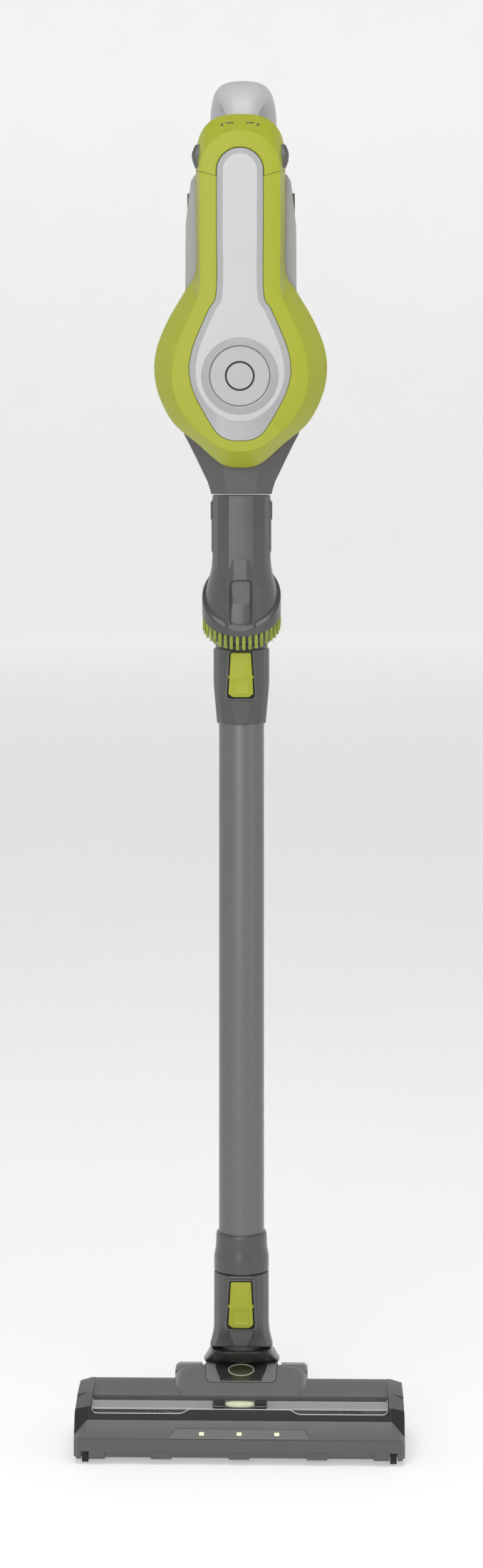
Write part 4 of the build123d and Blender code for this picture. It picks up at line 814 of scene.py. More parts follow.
class VacuumDustingBrush(bpy.types.Operator):
    """Dusting brush: a flared skirt with a slanted rim and a finger recess, and tufts set into the rim"""

    bl_idname = "vacuum.dusting_brush"
    bl_label = "Dusting brush"

    def execute(self, context):
        made = finishes(context.scene.stick_vacuum.look)
        sizes = context.scene.stick_vacuum.sizes
        turn = np.linspace(0, 2 * np.pi, 288, endpoint=False)
        self.skirt(turn, made)
        # tufts: bundles of hairs, each a thin tapering four-sided rod that leans out a little
        count, hairs = sizes.tuft_count, 12
        rng = np.random.default_rng(7)
        tuft = np.repeat(np.arange(count), hairs)
        angle = np.radians(4.74 + 360 / count * tuft)
        ring = np.tile(np.arange(hairs) * 2.4, count)
        spread = np.tile(np.sqrt((np.arange(hairs) + 0.5) / hairs) * 1.25, count)
        root = np.stack([29.8 * np.sin(angle) + spread * np.cos(ring),
                         -29.8 * np.cos(angle) + spread * np.sin(ring)], axis=-1)
        top = RIM - RIM_SLOPE * 29.8 * np.cos(angle) + 3
        length = sizes.tuft_length + 3 + rng.uniform(-0.5, 0.5, len(tuft))
        lean = np.stack([np.sin(angle), -np.cos(angle)], axis=-1) * rng.uniform(-0.2, 1.0, (len(tuft), 1)) \
            + np.stack([spread * np.cos(ring), spread * np.sin(ring)], axis=-1) * 0.12
        step = np.linspace(0, 1, 4)
        around = np.linspace(0, 2 * np.pi, 5, endpoint=False)
        thick = np.array([0.34, 0.34, 0.32, 0.22])
        centre = root[:, None] + lean[:, None] * (step ** 1.6)[None, :, None]
        px = centre[..., 0, None] + thick[None, :, None] * np.cos(around)
        py = centre[..., 1, None] + thick[None, :, None] * np.sin(around)
        pz = np.broadcast_to((top[:, None] - length[:, None] * step[None])[..., None], px.shape)
        hair_mesh("brush_tufts", np.stack([px, py, pz], axis=-1), "dusting_brush", made["green bristles"],
                  "dusting_brush_bristles", "bristle_green")
        return {"FINISHED"}

    def skirt(self, turn, made):
        """The skirt: a flared body, and below a slanted line a wider band down to the rim.

        Height v runs from 0 at the slanted rim to 1 at the top. The radius is the body's, blended to the
        band's below the line. A front rib is flattened to a plane, and a scoop cuts the rib back to a fixed
        radius.
        """
        v = np.r_[0, 0.012, np.linspace(0.03, 1, 110)][:, None]
        sine, cosine = np.sin(turn)[None], np.cos(turn)[None]
        rim = RIM - RIM_SLOPE * SKIRT * cosine
        z = rim * (1 - v) + 694.5 * v
        heights = [634, 650, 660, 668, 674, 680, 686, 690, 694.5]
        body = np.interp(z, heights, [29.4, 29.2, 29.0, 28.5, 27.5, 25.8, 24.4, 23.8, 23.5])
        line = 669 - 0.85 * SKIRT * cosine
        blend = np.clip((line - z) / 3.4, 0, 1)
        blend = blend * blend * (3 - 2 * blend)
        radius = body + (SKIRT - body) * blend
        groove = np.exp(-((z - line - 0.7) / 0.8) ** 2) * np.clip((0.93 - cosine) / 0.05, 0, 1)
        radius = radius - 0.7 * groove - 0.35 * (v < 0.01)
        x = radius * sine
        front = np.clip((cosine - 0.5) / 0.1, 0, 1)
        flat = np.maximum(radius, (radius + 0.7) / np.maximum(cosine, 0.5))
        rib = np.clip((11.6 - np.abs(x)) / 1.6, 0, 1) * front * np.clip((v - 0.02) / 0.05, 0, 1)
        radius = radius + (np.minimum(flat, radius + 1.1) - radius) * rib
        reach = np.stack([np.abs(x) - 8.9 + 4, np.abs(z - 661) - 17.5 + 4])
        distance = np.linalg.norm(np.maximum(reach, 0), axis=0) + np.minimum(reach.max(axis=0), 0) - 4
        scoop = np.clip(-distance / 0.9, 0, 1) * (cosine > 0.5)
        floor = np.where(z < 654, 24.3, 24.9) / np.maximum(cosine, 0.5) * 0.97
        radius = radius + (np.minimum(radius, floor) - radius) * scoop
        outer = np.stack([radius * sine, -radius * cosine, z], axis=-1)
        inner = []
        for r, w in [(28.3, 0.0), (28.2, 0.1), (27.4, 0.5), (24.4, 0.86), (23.25, 1.0)]:
            near = radius[np.argmin(np.abs(v[:, 0] - w))]
            r = np.minimum(r, near - 0.8 * (w < 1) - 0.1)
            inner.append(np.stack([r * sine[0], -r * cosine[0], rim[0] * (1 - w) + 694.5 * w], axis=-1))
        grid = np.concatenate([outer, np.stack(inner[::-1])])
        surface("brush_skirt", grid, "dusting_brush", made["sleeve plastic"], closed=(True, True), sharp=34,
                slot="graphite_plastic", nodes=("dusting_brush_collar",))


HAIR_SHARP = 50.0


def hair_mesh(name, rods, body, material, node, slot):
    """Many rods at once: an array of rod, step, corner and place, joined to one mesh with flat ends."""
    count, steps, corners = rods.shape[:3]
    rod = np.arange(count)[:, None, None] * steps * corners
    step = np.arange(steps - 1)[None, :, None] * corners
    corner = np.arange(corners)[None, None, :]
    beside = (corner + 1) % corners
    quads = np.stack([rod + step + corner, rod + step + beside, rod + step + corners + beside,
                      rod + step + corners + corner], axis=-1).reshape(-1, 4)
    tips = (np.arange(count)[:, None] * steps * corners + (steps - 1) * corners + np.arange(corners)[None])
    roots = (np.arange(count)[:, None] * steps * corners + np.arange(corners)[None])[:, ::-1]
    faces = quads.tolist() + tips.tolist() + roots.tolist()
    new_piece(name, rods.reshape(-1, 3), faces, body, material, HAIR_SHARP, slot, (node,), clean=False)


def rocker(name, low, high, pivot, body, node, made):
    """Green rocker button: a tapered plate with bevelled edges, a raised thumb pad and its two pin caps."""
    outline = rounded([(-9.8, low + 2.6), (-6.6, low), (6.6, low), (9.8, low + 2.6), (7.9, high),
                       (-7.9, high)], [1.6, 3.0, 3.0, 1.6, 1.2, 1.2], 5)
    rows = [(0, -22.4), (0, -23.9), (0.35, -24.3), (1.0, -24.5)]
    slab(name, outline, rows, "front", body, made["green button"], slot="green_plastic", nodes=(node,))
    pad = rounded([(-7, low + 2.6), (7, low + 2.6), (6.6, low + 14.8), (-6.6, low + 14.8)], 1.2, 5)
    middle = pad.mean(axis=0)
    rows = [(1.0, -24.0), (0.99, -24.8), (0.95, -25.2), (0.88, -25.2), (0.8, -24.9), (0.4, -24.75)]
    grid = np.stack([place(middle + (pad - middle) * scale, depth, "front") for scale, depth in rows])
    surface(name + "_pad", grid, body, made["green button"], slot="green_plastic")
    for side, word in ((-1, "left"), (1, "right")):
        profile = [(1.5, side * 8.2), (1.5, side * 9.6), (1.1, side * 10.0), (0.05, side * 10.0)]
        lathe(f"{name}_pin_{word}", profile, body, made["green button"], centre=(-22.4, pivot), axis="x",
              count=20, slot="green_plastic")


def bezel(name, low, high, body, made):
    """Raised frame round a rocker with a black well behind it: the gap between two tapered outlines."""
    corners = [(-12.6, low - 2.8), (12.6, low - 2.8), (12.4, low + 6), (10.4, high + 2.0),
               (-10.4, high + 2.0), (-12.4, low + 6)]
    hole = [(-10.9, low - 1.1), (10.9, low - 1.1), (10.8, low + 5), (8.9, high + 0.9), (-8.9, high + 0.9),
            (-10.8, low + 5)]
    outer, inner = rounded(corners, 2.4, 6), rounded(hole, [3.2, 3.2, 1.0, 1.4, 1.4, 1.0], 6)
    rows = [(outer, 0, -16.5), (outer, 0, -23.0), (outer, 0.3, -23.5), (outer, 0.8, -23.7),
            (inner, -0.3, -23.7), (inner, 0, -23.4), (inner, 0, -16.5)]
    grid = np.stack([place(inset(line, step), depth, "front") for line, step, depth in rows])
    surface(name, grid, body, made["sleeve plastic"], closed=(True, True), slot="graphite_plastic")
    slab(name + "_well", inner, [(0, -18.5), (0, -22.55), (0.2, -22.6)], "front", body, made["black rubber"],
         slot="graphite_plastic")


class VacuumWand(bpy.types.Operator):
    """Wand tube, its two collars and the upper release rocker"""

    bl_idname = "vacuum.wand"
    bl_label = "Wand"

    def execute(self, context):
        made = finishes(context.scene.stick_vacuum.look)
        lathe("tube", [(16.8, 91), (17.6, 91), (18, 91.6), (18, 587.4), (17.6, 588), (16.8, 588)], "wand",
              made["tube lacquer"], closed=(True, True), count=128, slot="tube_metal", nodes=("wand_tube",))
        lathe("lower_collar", soften([(18.0, 127.3), (21.4, 127.3), (21.9, 128.1), (21.9, 138), (20.5, 145.5),
                                      (20.2, 155.6), (19.4, 157.6), (18.0, 158)], 1.2, 5), "wand",
              made["sleeve plastic"], closed=(True, True), count=128, slot="graphite_plastic",
              nodes=("wand_lower_collar",))
        rows = [(563.5, 18.6, 7.0, 18.6), (564.2, 19.5, 7.4, 19.3), (586, 21.4, 11.6, 21.2),
                (594, 22.1, 12.6, 22.2),
                (598, 22.2, 12.6, 22.4), (622.4, 22.2, 12.4, 22.4), (623.2, 21.9, 12.2, 22.0),
                (623.6, 21.2, 12, 21.4)]
        bored("upper_collar", [(ribbed_section(w, c - 3, f, w), z) for z, w, c, f in rows], 18.9, 590, "wand",
              made["sleeve plastic"], sharp=16, slot="graphite_plastic", nodes=("wand_upper_collar",))
        lathe("upper_collar_lip", soften([(19.0, 620), (20.9, 620), (20.9, 626.8), (19.0, 626.8)], 0.5),
              "wand", made["sleeve plastic"], closed=(True, True), slot="graphite_plastic")
        bezel("upper_bezel", 585.9, 621.0, "wand", made)
        rocker("wand_rocker", 585.9, 621.0, 601.7, "wand_rocker", "wand_button", made)
        return {"FINISHED"}


class VacuumNeck(bpy.types.Operator):
    """Neck socket with its lower release rocker"""

    bl_idname = "vacuum.neck"
    bl_label = "Neck"

    def execute(self, context):
        made = finishes(context.scene.stick_vacuum.look)
        rows = [(66.5, 20.0, 6.0, 18.0), (66.6, 24.6, 7.0, 20.6), (67.4, 25.0, 8.0, 21.2),
                (71, 24.0, 9.0, 21.5), (76, 22.8, 10.5, 21.8), (82, 21.9, 11.8, 22.0), (88, 21.8, 12.4, 22.2),
                (126, 21.7, 12.2, 22.2), (126.6, 21.5, 12, 22.0), (127, 20.8, 11.8, 21.4)]
        sections = [(ribbed_section(w, c - 3, f, min(w, 21.6)), z) for z, w, c, f in rows]
        neck = bored("socket", sections, 18.1, 92, "neck", made["sleeve plastic"], sharp=16)
        points = np.empty(len(neck.data.vertices) * 3)
        neck.data.vertices.foreach_get("co", points)
        points = points.reshape(-1, 3)
        reach = np.clip(-points[:, 1] / 0.0215, 0, 1) ** 2 * np.clip((0.082 - points[:, 2]) / 0.014, 0, 1)
        points[:, 2] += 0.0048 * reach
        neck.data.vertices.foreach_set("co", points.ravel())
        neck.data.update()
        settle(neck, "graphite_plastic", "neck_socket")
        bezel("neck_bezel", 86.7, 122.8, "neck", made)
        rocker("neck_rocker", 86.7, 122.8, 103.5, "neck_rocker", "neck_button", made)
        return {"FINISHED"}


# ---- floor head -----------------------------------------------------------------------------
WINDOW_HALF, HOLE_HALF = 115.4, 47.5
ROLL_Y, ROLL_Z = -56.0, 19.0
YOKE_CENTRE = (14, 42)
LAMP_PLACES = (-29.0, 0.0, 29.0)


def tilt(flat, depth, origin, angle):
    """Lays flat points (x, v) on a plane through an origin (y, z) that rises to the back by an angle.

    The depth is measured square to the plane, outwards.
    """
    rise, run = np.sin(radians(angle)), np.cos(radians(angle))
    depth = np.broadcast_to(depth, flat.shape[:-1])
    return np.stack([flat[..., 0], origin[0] + flat[..., 1] * run - depth * rise,
                     origin[1] + flat[..., 1] * rise + depth * run], axis=-1)


def tilted_slab(name, outline, rows, origin, angle, body, material, slot, nodes=()):
    """A plate on a sloping plane: each row is an inward step and a depth."""
    grid = np.stack([tilt(inset(outline, step), depth, origin, angle) for step, depth in rows])
    surface(name, grid, body, material, slot=slot, nodes=nodes)


def bead(name, path, radius, body, material, slot):
    """A thin round cord along a path: a circle set square to the path's direction at each point."""
    along = np.gradient(path, axis=0)
    along /= np.linalg.norm(along, axis=1, keepdims=True)
    first = np.cross(along, (0.12, 0.31, 0.94))
    first /= np.linalg.norm(first, axis=1, keepdims=True)
    second = np.cross(along, first)
    turn = np.linspace(0, 2 * np.pi, 8, endpoint=False)[None, :, None]
    grid = path[:, None] + radius * (np.cos(turn) * first[:, None] + np.sin(turn) * second[:, None])
    surface(name, grid, body, material, slot=slot)


def cover_profile(x):
    """Side profile (y, z) of the head's cover at that x, from the front seam over the deck to the back.

    Inside the window's ends the line dips to the window, and its front rim is higher in the middle. From
    118 mm out, t runs from 0 to 1 and brings the steep wall forward and down to the corner.
    """
    far = abs(x)
    t = np.clip((far - 118) / 9.3, 0, 1)
    middle = np.clip((45.5 - far) / 7.5, 0, 1)
    round_front = 4 - np.sqrt(max(16 - max(far - 123.6, 0) ** 2, 0))
    front = [(-86.6 + round_front, 20.0), (-86.75 + round_front, 20.45),
             (max(-73.6 - 13 * t, -86.2 + round_front), 28.3 - 7.2 * t),
             (max(-72.3 - 13 * t, -85.7 + round_front), 29.7 - 7.2 * t)]
    if far <= WINDOW_HALF:
        rest = [(-71.3 + 1.4 * middle, 33.1 + 3.1 * middle), (-70.8 + 1.5 * middle, 33.75 + 3.1 * middle),
                (-70.1 + 1.5 * middle, 33.6 + 3.1 * middle), (-43.7, 37.4), (-43.5, 39.8), (-42.9, 40.3),
                (-36, 40.9), (-26, 41.9), (-18, 42.8), (-12.4, 43.1), (-10.8, 42.8)]
    else:
        rest = [(-69.8 - 5 * t, 37.1 - 0.8 * t), (-69.1 - 5 * t, 37.9 - 0.7 * t),
                (-67 - 4 * t, 38.3 - 0.4 * t),
                (-56, 40.4), (-45, 41.8), (-42.9, 42.0), (-36, 42.6), (-26, 43.1), (-18, 43.3), (-12.4, 43.3),
                (-10.8, 43.0)]
    line = np.array(front + rest + [(-7, 40.4), (4, 20.05)])
    line[9:, 0] -= 0.95 * max(far - 118.6, 0)
    return line


def plain_line(outline, x):
    """The outline's points as rows of x, y, z at that x."""
    return np.column_stack([np.full(len(outline), x), outline])


class VacuumHeadCover(bpy.types.Operator):
    """Cover of the floor head, its steep front wall in a darker finish that is painted shade, with its clear
    window, the bright strip of painted highlight inside it and the headlight panel
    """

    bl_idname = "vacuum.head_cover"
    bl_label = "Floor head cover"

    def execute(self, context):
        made = finishes(context.scene.stick_vacuum.look)
        half = np.array([0, 12, 25, 38, 39.5, 41.8, 44, 45.5, 47.5, 66, 82, 98, WINDOW_HALF, 115.9, 117, 118,
                         118.6, 120, 121.5, 123, 124.5, 126, 127, 127.4, 127.6, 127.6])
        drop = np.array([0.0] * 23 + [0.35, 1.1, 40.0])
        x = np.r_[-half[:0:-1], half]
        drop = np.r_[drop[:0:-1], drop]
        grid = np.stack([plain_line(cover_profile(at), at) for at in x])
        grid[..., 2] = np.maximum(grid[..., 2] - drop[:, None], np.minimum(grid[..., 2], 20.05))
        keep = np.ones((len(x) - 1, grid.shape[1] - 1), bool)
        inner = (np.abs(x[:-1]) <= WINDOW_HALF) & (np.abs(x[1:]) <= WINDOW_HALF)
        keep[inner, 6] = False
        under_bonnet = (np.abs(x[:-1]) <= HOLE_HALF) & (np.abs(x[1:]) <= HOLE_HALF)
        keep[under_bonnet, 9:] = False
        # rows 3 to 5 are the steep front wall below the window, which takes the darker finish of painted
        # shade
        band = np.zeros_like(keep)
        band[:, 3:6] = True
        sheet("head_shell", grid, keep & ~band, 1.8, "floor_head", made["mid grey plastic"], sharp=22,
              slot="grey_plastic", nodes=("head_cover",))
        sheet("head_shaded_wall", grid, keep & band, 1.8, "floor_head", made["painted shade wall plastic"], sharp=22,
              slot="grey_plastic")
        self.window(made)
        self.lamps(made)
        return {"FINISHED"}

    def window(self, made):
        """The curved window with its bright edge, and inside it a bright strip that is a painted highlight,
        dark blocks of painted shade beside the oval, and a pale oval that glows with painted light.
        """
        depth = np.linspace(-69.9, -43.8, 24)
        across = np.linspace(-WINDOW_HALF + 0.2, WINDOW_HALF - 0.2, 60)
        arc = np.stack([depth, ROLL_Z + np.sqrt(20.5 ** 2 - (depth - ROLL_Y) ** 2)], axis=-1)
        grid = np.stack([plain_line(arc, at) for at in across])
        sheet("window_pane", grid, np.ones((59, 23), bool), 0.9, "floor_head", made["clear window"],
              slot="clear_window", nodes=("head_window",))
        edge = [(-114.9, -52.0, 39.7), (-114.9, -62.0, 38.8), (-114.8, -68.0, 36.2), (-112.5, -70.3, 34.5),
                (-108.0, -70.5, 34.4), (-46.5, -70.5, 34.4), (-44.0, -70.2, 35.0), (-40.0, -69.4, 37.2),
                (-37.5, -69.1, 37.5)]
        edge = np.array(edge)
        path = np.vstack([edge, edge[::-1] * (-1, 1, 1)])
        bead("window_edge", even_line(path, 260), 0.36, "floor_head", made["satin edge and painted highlight"], "clear_window")
        # a bright satin strip just inside the window over the roller, set where the window shows a
        # reflection: a painted highlight
        rows = [(-51.6, 19.2), (-51.9, 19.75), (-53.2, 19.85), (-53.6, 19.55), (-54.8, 19.5), (-55.2, 19.8),
                (-64.4, 19.8), (-65.0, 19.3)]
        arc = np.array([(y, ROLL_Z + np.sqrt(r ** 2 - (y - ROLL_Y) ** 2)) for y, r in rows])
        for side, word in ((-1, "left"), (1, "right")):
            grid = np.stack([plain_line(arc, side * at) for at in (21, 60, 114.4)])
            sheet(f"strip_{word}", grid, np.ones((2, len(rows) - 1), bool), 0.5, "floor_head",
                  made["satin edge and painted highlight"], sharp=20, slot="silver_plastic")
            # dark glossy blocks either side of the pale oval, set where the window shows shadow: painted
            # shade
            shade_block_line = rounded([(side * 11.5, -66), (side * 20.6, -66), (side * 21.4, -60),
                                  (side * 21.4, -51), (side * 11.5, -51)], 0.8, 4)
            slab(f"shade_block_{word}", shade_block_line, [(0, 36.2), (0, 38.4), (0.5, 38.9)], "top", "floor_head",
                 made["gloss dark plastic"], slot="dark_plastic")
        # the pale oval over the roller glows with the lamps' finish though it is no lamp: painted light
        oval = np.linspace(0, 2 * np.pi, 48, endpoint=False)
        outline = np.stack([11.3 * np.cos(oval), -57.5 + 4.6 * np.sin(oval)], axis=-1)
        slab("glowing_oval", outline, [(0.3, 36.5), (0, 37.6), (0.3, 38.6), (1.2, 39.0), (2.6, 39.15)], "top",
             "floor_head", made["glow finish"], slot="led_lens")

    def lamps(self, made):
        """The panel on the front slope with its thin dark outline, and three lamp lenses."""
        origin, angle = (-82.7, 22.75), 31.8
        panel = rounded([(-54.4, -4.4), (54.4, -4.4), (49.6, 4.7), (-49.6, 4.7)], 0.8, 4)
        tilted_slab("lamp_panel_line", panel, [(-0.45, -0.9), (-0.45, 0.08), (-0.2, 0.14)], origin, angle,
                    "floor_head", made["dark plastic"], "dark_plastic")
        tilted_slab("lamp_panel", panel, [(0, -0.6), (0, 0.3), (0.25, 0.5)], origin, angle, "floor_head",
                    made["panel grey plastic"], "grey_plastic", ("headlight_panel",))
        lens = rounded([(-2.0, -1.8), (2.0, -1.8), (2.0, 1.5), (-2.0, 1.5)], 0.4, 3)
        for k, at in enumerate(LAMP_PLACES):
            tilted_slab(f"lamp_frame_{k}", lens + (at, 0), [(-0.35, 0.2), (-0.35, 0.6), (0, 0.6)], origin,
                        angle, "floor_head", made["dark plastic"], "dark_plastic")
            tilted_slab(f"lamp_{k}", lens + (at, 0), [(0, 0.3), (0, 0.75), (0.3, 0.9)], origin, angle,
                        "floor_head", made["glow finish"], "led_lens", ("headlight_leds",))


class VacuumBonnet(bpy.types.Operator):
    """Smoky bonnet behind the window, with its inset panel, plain oval and rear wheel pods"""

    bl_idname = "vacuum.bonnet"
    bl_label = "Bonnet"

    def execute(self, context):
        made = finishes(context.scene.stick_vacuum.look)
        stations = np.array([
            # y, half width, top
            (-43.6, 49.2, 38.2), (-43.4, 49.4, 38.9), (-42.6, 49.6, 39.5), (-40, 50.1, 40.7),
            (-36, 50.8, 42.2),
            (-30, 51.6, 44.6), (-24, 52.2, 46.9), (-18, 52.6, 49.0), (-12, 52.9, 51.0), (-9, 53, 51.9),
            (-7.4, 53, 52.2), (-6.6, 52.8, 52.0), (-6.2, 52.3, 51.3), (-6.2, 52.0, 44.0)], float)
        rows = []
        for y, half, top in stations:
            line = arch(half, 0.46, top - 36.0, 36.0, 72)
            rows.append(np.column_stack([line[:, 0], np.full(len(line), y), line[:, 1]]))
        grid = np.stack(rows)
        sheet("bonnet", grid, np.ones((len(rows) - 1, 71), bool), 1.2, "floor_head", made["smoked bonnet"],
              sharp=40, slot="smoke_cover", nodes=("head_bonnet",))
        pod = rounded([(-6.0, 20.1), (-6.0, 48.0), (4, 49.4), (15, 47.6), (31, 38), (40, 27), (40, 20.1)],
                      [0.4, 1.5, 5, 8, 8, 3, 0.4], 6)
        guard = rounded([(-6.0, 20.1), (-6.0, 37), (0, 37.5), (24, 31), (34, 27.5), (40, 23), (40, 20.1)],
                        [0.4, 2, 3, 4, 3, 2, 0.4], 6)
        for side, word in ((-1, "left"), (1, "right")):
            rows = [(1.0, side * 31.6), (0.3, side * 31.9), (0, side * 32.6), (0, side * 49.5),
                    (0.8, side * 51.6), (2.4, side * 52.9)]
            slab(f"pod_{word}", pod, rows, "side", "floor_head", made["smoked bonnet"], sharp=30,
                 slot="smoke_cover")
            rows = [(0, side * 50.0), (0, side * 58.6), (0.4, side * 59.5), (1.2, side * 60.0)]
            slab(f"wheel_guard_{word}", guard, rows, "side", "floor_head", made["mid grey plastic"],
                 sharp=30, slot="smoke_cover")
        self.panel(made)
        return {"FINISHED"}

    def panel(self, made):
        """The inset panel, the dark funnel shape in it, the olive patch and the plain raised oval."""
        origin, angle = (-17.6, 49.2), 19.3
        plate = rounded([(-27.0, -11.2), (27.0, -11.2), (28.4, 11.0), (-28.4, 11.0)], [4.5, 4.5, 0.8, 0.8], 8)
        tilted_slab("panel_line", plate, [(-0.5, -1.6), (-0.5, 0.0), (-0.25, 0.06)], origin, angle,
                    "floor_head", made["gloss dark plastic"], "dark_plastic")
        tilted_slab("panel", plate, [(0, -1.0), (0, 0.1), (0.3, 0.3)], origin, angle, "floor_head",
                    made["smoked panel"], "smoke_cover", ("badge_plate",))
        flank = smooth_line([(20.6, 10.7), (20.2, 6), (18.9, 0), (17.2, -5.5), (16.4, -10.8)], 16)
        funnel = np.vstack([flank, (flank * (-1, 1))[::-1]])
        tilted_slab("panel_funnel", funnel, [(0, -0.5), (0, 0.38), (0.25, 0.5)], origin, angle, "floor_head",
                    made["gloss dark plastic"], "dark_plastic")
        patch = rounded([(-7, -10.6), (7, -10.6), (7, 1), (-7, 1)], 0.4, 3)
        tilted_slab("panel_patch", patch, [(0, 0.2), (0, 0.56), (0.1, 0.6)], origin, angle, "floor_head",
                    made["olive plastic"], "green_clear")
        turn = np.linspace(0, 2 * np.pi, 72, endpoint=False)
        oval = np.stack([10.3 * np.cos(turn), 2.9 + 7.4 * np.sin(turn)], axis=-1)
        tilted_slab("oval", oval, [(0, 0.3), (0, 0.62), (0.1, 0.68)], origin, angle, "floor_head",
                    made["olive plastic"], "green_clear")
        rows = [(0, 0.4), (0, 0.82), (0.15, 0.9), (0.55, 0.9), (0.7, 0.82), (0.7, 0.4)]
        grid = np.stack([tilt(inset(oval, step), depth, origin, angle) for step, depth in rows])
        surface("oval_ring", grid, "floor_head", made["pale print"], closed=(True, True),
                slot="silver_plastic")


def roller_tufts(name, material):
    """Helical rows of tufts: each a few short hairs standing on the core, leaning with the helix."""
    rng = np.random.default_rng(11)
    rows, along = 4, np.arange(-112, 112.1, 2.0)
    count = len(along)
    x = np.tile(np.repeat(along, 5), rows) + rng.uniform(-0.7, 0.7, rows * count * 5)
    start = np.repeat(np.arange(rows) * np.pi / 2, count * 5)
    turn = start + x / 112 * 2.2 + rng.uniform(-0.09, 0.09, len(x))
    step = np.linspace(0, 1, 3)
    radius = 10.8 + (17.9 - 10.8) * step[None, :] * rng.uniform(0.95, 1.0, (len(x), 1))
    angle = turn[:, None] + 0.06 * step[None, :] ** 2
    across = x[:, None] + 0.8 * step[None, :] * rng.uniform(-0.5, 0.5, (len(x), 1))
    centre = np.stack([across, ROLL_Y + radius * np.cos(angle), ROLL_Z + radius * np.sin(angle)], axis=-1)
    side = np.stack([np.zeros_like(turn), -np.sin(turn), np.cos(turn)], axis=-1)[:, None, None]
    corner = np.linspace(0, 2 * np.pi, 4, endpoint=False)[None, None, :, None]
    rods = centre[:, :, None] + 0.42 * (np.cos(corner) * np.array([1, 0, 0]) + np.sin(corner) * side)
    hair_mesh(name, rods, "brush_roll", material, "brush_roll_bristles", "bristle_grey")


class VacuumRolling(bpy.types.Operator):
    """Brush roll with helical tufts, and the four wheels with tyres and hubs"""

    bl_idname = "vacuum.rolling"
    bl_label = "Brush roll and wheels"

    def execute(self, context):
        made = finishes(context.scene.stick_vacuum.look)
        centre = (ROLL_Y, ROLL_Z)
        lathe("roll_core", [(0.05, -123.4), (8.7, -123.4), (9, -123), (9, -116), (11, -115.6), (11, 115.6),
                            (3, 115.7), (3, 120.3), (2.6, 120.5), (0.05, 120.5)], "brush_roll",
              made["graphite plastic"], centre=centre, axis="x", count=48, slot="graphite_plastic",
              nodes=("brush_roll_core",))
        roller_tufts("roll_tufts", made["roller bristles"])
        lathe("roll_felt", [(11.02, -114), (12.2, -113.5), (12.2, 113.5), (11.02, 114)], "brush_roll",
              made["roller bristles"], centre=centre, axis="x", count=48, slot="bristle_grey")
        for end, x, y, r, half, bore in (("front", 118.8, -79.5, 7.0, 2.4, 1.56),
                                         ("rear", 50.0, 24.0, 15.0, 4.2, 2.06)):
            for side, word in ((-1, "left"), (1, "right")):
                body = f"{end}_wheel_{word}"
                groove = r * 0.05
                line = [(r * 0.74, -half * 0.86), (r * 0.78, -half), (r * 0.93, -half), (r, -half * 0.72),
                        (r, -half * 0.34), (r - groove, -half * 0.26), (r - groove, half * 0.26),
                        (r, half * 0.34),
                        (r, half * 0.72), (r * 0.93, half), (r * 0.78, half), (r * 0.74, half * 0.86)]
                lathe(f"{body}_tyre", [(q, side * x + h) for q, h in line], body, made["black rubber"],
                      centre=(y, r), axis="x", closed=(True, True), count=64, sharp=40, slot="wheel_rubber",
                      nodes=(body,))
                line = [(bore, -half - 0.3), (r * 0.3, -half - 0.3), (r * 0.36, -half + 0.2),
                        (r * 0.66, -half + 0.5),
                        (r * 0.745, -half + 0.1), (r * 0.745, half - 0.1), (r * 0.66, half - 0.5),
                        (r * 0.36, half - 0.2), (r * 0.3, half + 0.3), (bore, half + 0.3)]
                lathe(f"{body}_hub", [(q, side * x + h) for q, h in line], body, made["graphite plastic"],
                      centre=(y, r), axis="x", closed=(True, True), count=48, sharp=30,
                      slot="graphite_plastic")
        return {"FINISHED"}


def shoulder_section(half, front, back):
    """Superellipse in plan: x = half cos^p(t), y = middle + depth sin^p(t)."""
    power = 0.62
    turn = np.linspace(0, 2 * np.pi, 96, endpoint=False)
    cosine, sine = np.cos(turn), np.sin(turn)
    return np.stack([half * np.sign(cosine) * np.abs(cosine) ** power,
                     (front + back) / 2 + (back - front) / 2 * np.sign(sine) * np.abs(sine) ** power],
                    axis=-1)


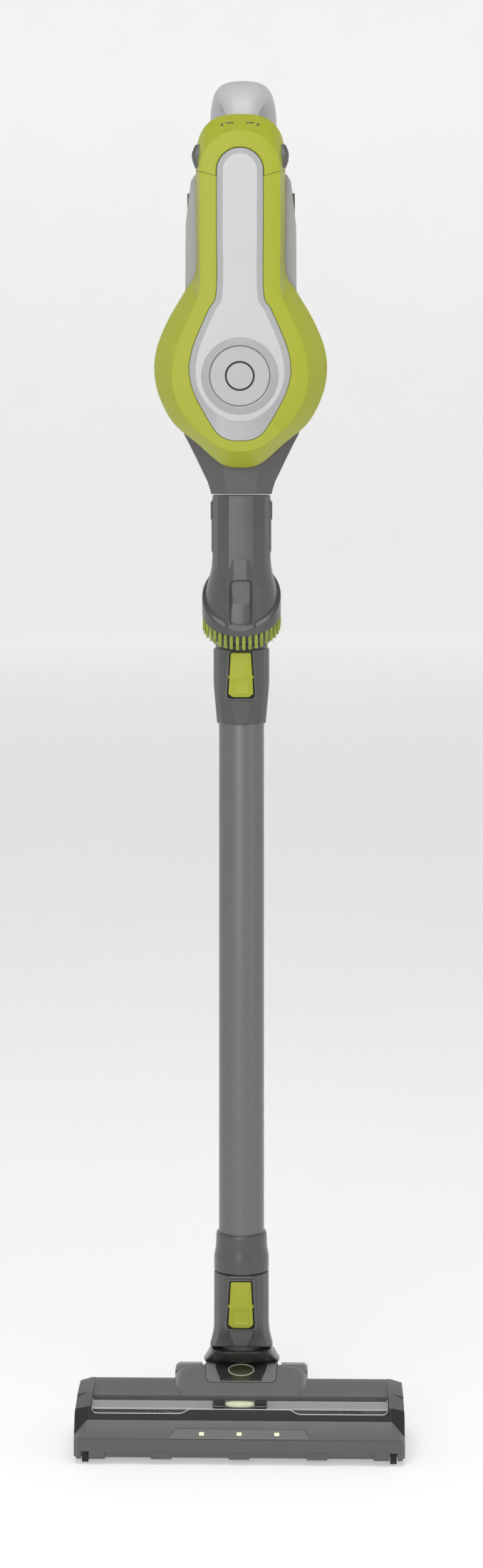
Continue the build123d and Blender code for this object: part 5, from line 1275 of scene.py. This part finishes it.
class VacuumYoke(bpy.types.Operator):
    """Glossy yoke below the neck: flared shoulders on a barrel that turns in the head"""

    bl_idname = "vacuum.yoke"
    bl_label = "Yoke"

    def execute(self, context):
        made = finishes(context.scene.stick_vacuum.look)
        sections = [(50.0, 28.6, -2.0, 28), (52.0, 30.4, -4.0, 28), (54.0, 29.5, -8.0, 27),
                    (57.0, 27.9, -13.0, 25.5),
                    (60.0, 26.4, -16.6, 24), (62.4, 25.2, -18.6, 22.6), (64.4, 24.7, -19.8, 21.4),
                    (65.6, 24.2, -20.2, 20.8), (66.1, 23.6, -19.6, 20.2)]
        stack("yoke_shoulders", [(shoulder_section(h, f, b), z) for z, h, f, b in sections], "yoke",
              made["gloss dark plastic"], sharp=30, slot="dark_plastic", nodes=("neck_yoke",))
        end = [(0.05, 36.4), (3.5, 36.4), (3.5, 29), (9, 29), (13, 28.4), (16.5, 26.5), (18.8, 23.5),
               (19.5, 20)]
        line = [(r, -x) for r, x in end] + end[::-1]
        lathe("yoke_barrel", line, "yoke", made["gloss dark plastic"], centre=YOKE_CENTRE, axis="x", count=96,
              sharp=30, slot="dark_plastic")
        lathe("yoke_spigot", [(17, 66.05), (17, 74.4), (16.4, 75), (14.5, 75), (14.5, 66.05)], "yoke",
              made["dark plastic"], closed=(True, True), count=72, slot="dark_plastic")
        return {"FINISHED"}


class VacuumPanel(bpy.types.Panel):
    """Lists the pieces and their settings"""

    bl_idname = "VIEW3D_PT_stick_vacuum"
    bl_label = "Stick Vacuum"
    bl_space_type = "VIEW_3D"
    bl_region_type = "UI"
    bl_category = "Stick Vacuum"

    def draw(self, context):
        settings = context.scene.stick_vacuum
        for group in (settings.look, settings.sizes):
            box = self.layout.box()
            for name in type(group).__annotations__:
                box.prop(group, name)
        for operator in PIECES:
            self.layout.operator(operator.bl_idname)


PIECES = [VacuumStage, VacuumFinishes, VacuumShield, VacuumTrim, VacuumBattery, VacuumBin, VacuumHandle,
          VacuumInlet, VacuumDustingBrush, VacuumWand, VacuumNeck, VacuumYoke, VacuumHeadCover, VacuumBonnet,
          VacuumRolling]
CLASSES = [VacuumLook, VacuumSizes, StickVacuumSettings, *PIECES, VacuumPanel]


def register():
    """Registers the classes and the settings."""
    for item in CLASSES:
        bpy.utils.register_class(item)
    bpy.types.Scene.stick_vacuum = bpy.props.PointerProperty(type=StickVacuumSettings)


def unregister():
    """Removes the classes and the settings."""
    del bpy.types.Scene.stick_vacuum
    for item in reversed(CLASSES):
        bpy.utils.unregister_class(item)


def main():
    """Builds everything in order."""
    register()
    for operator in PIECES:
        family, name = operator.bl_idname.split(".")
        getattr(getattr(bpy.ops, family), name)()


if __name__ == "__main__":
    main()
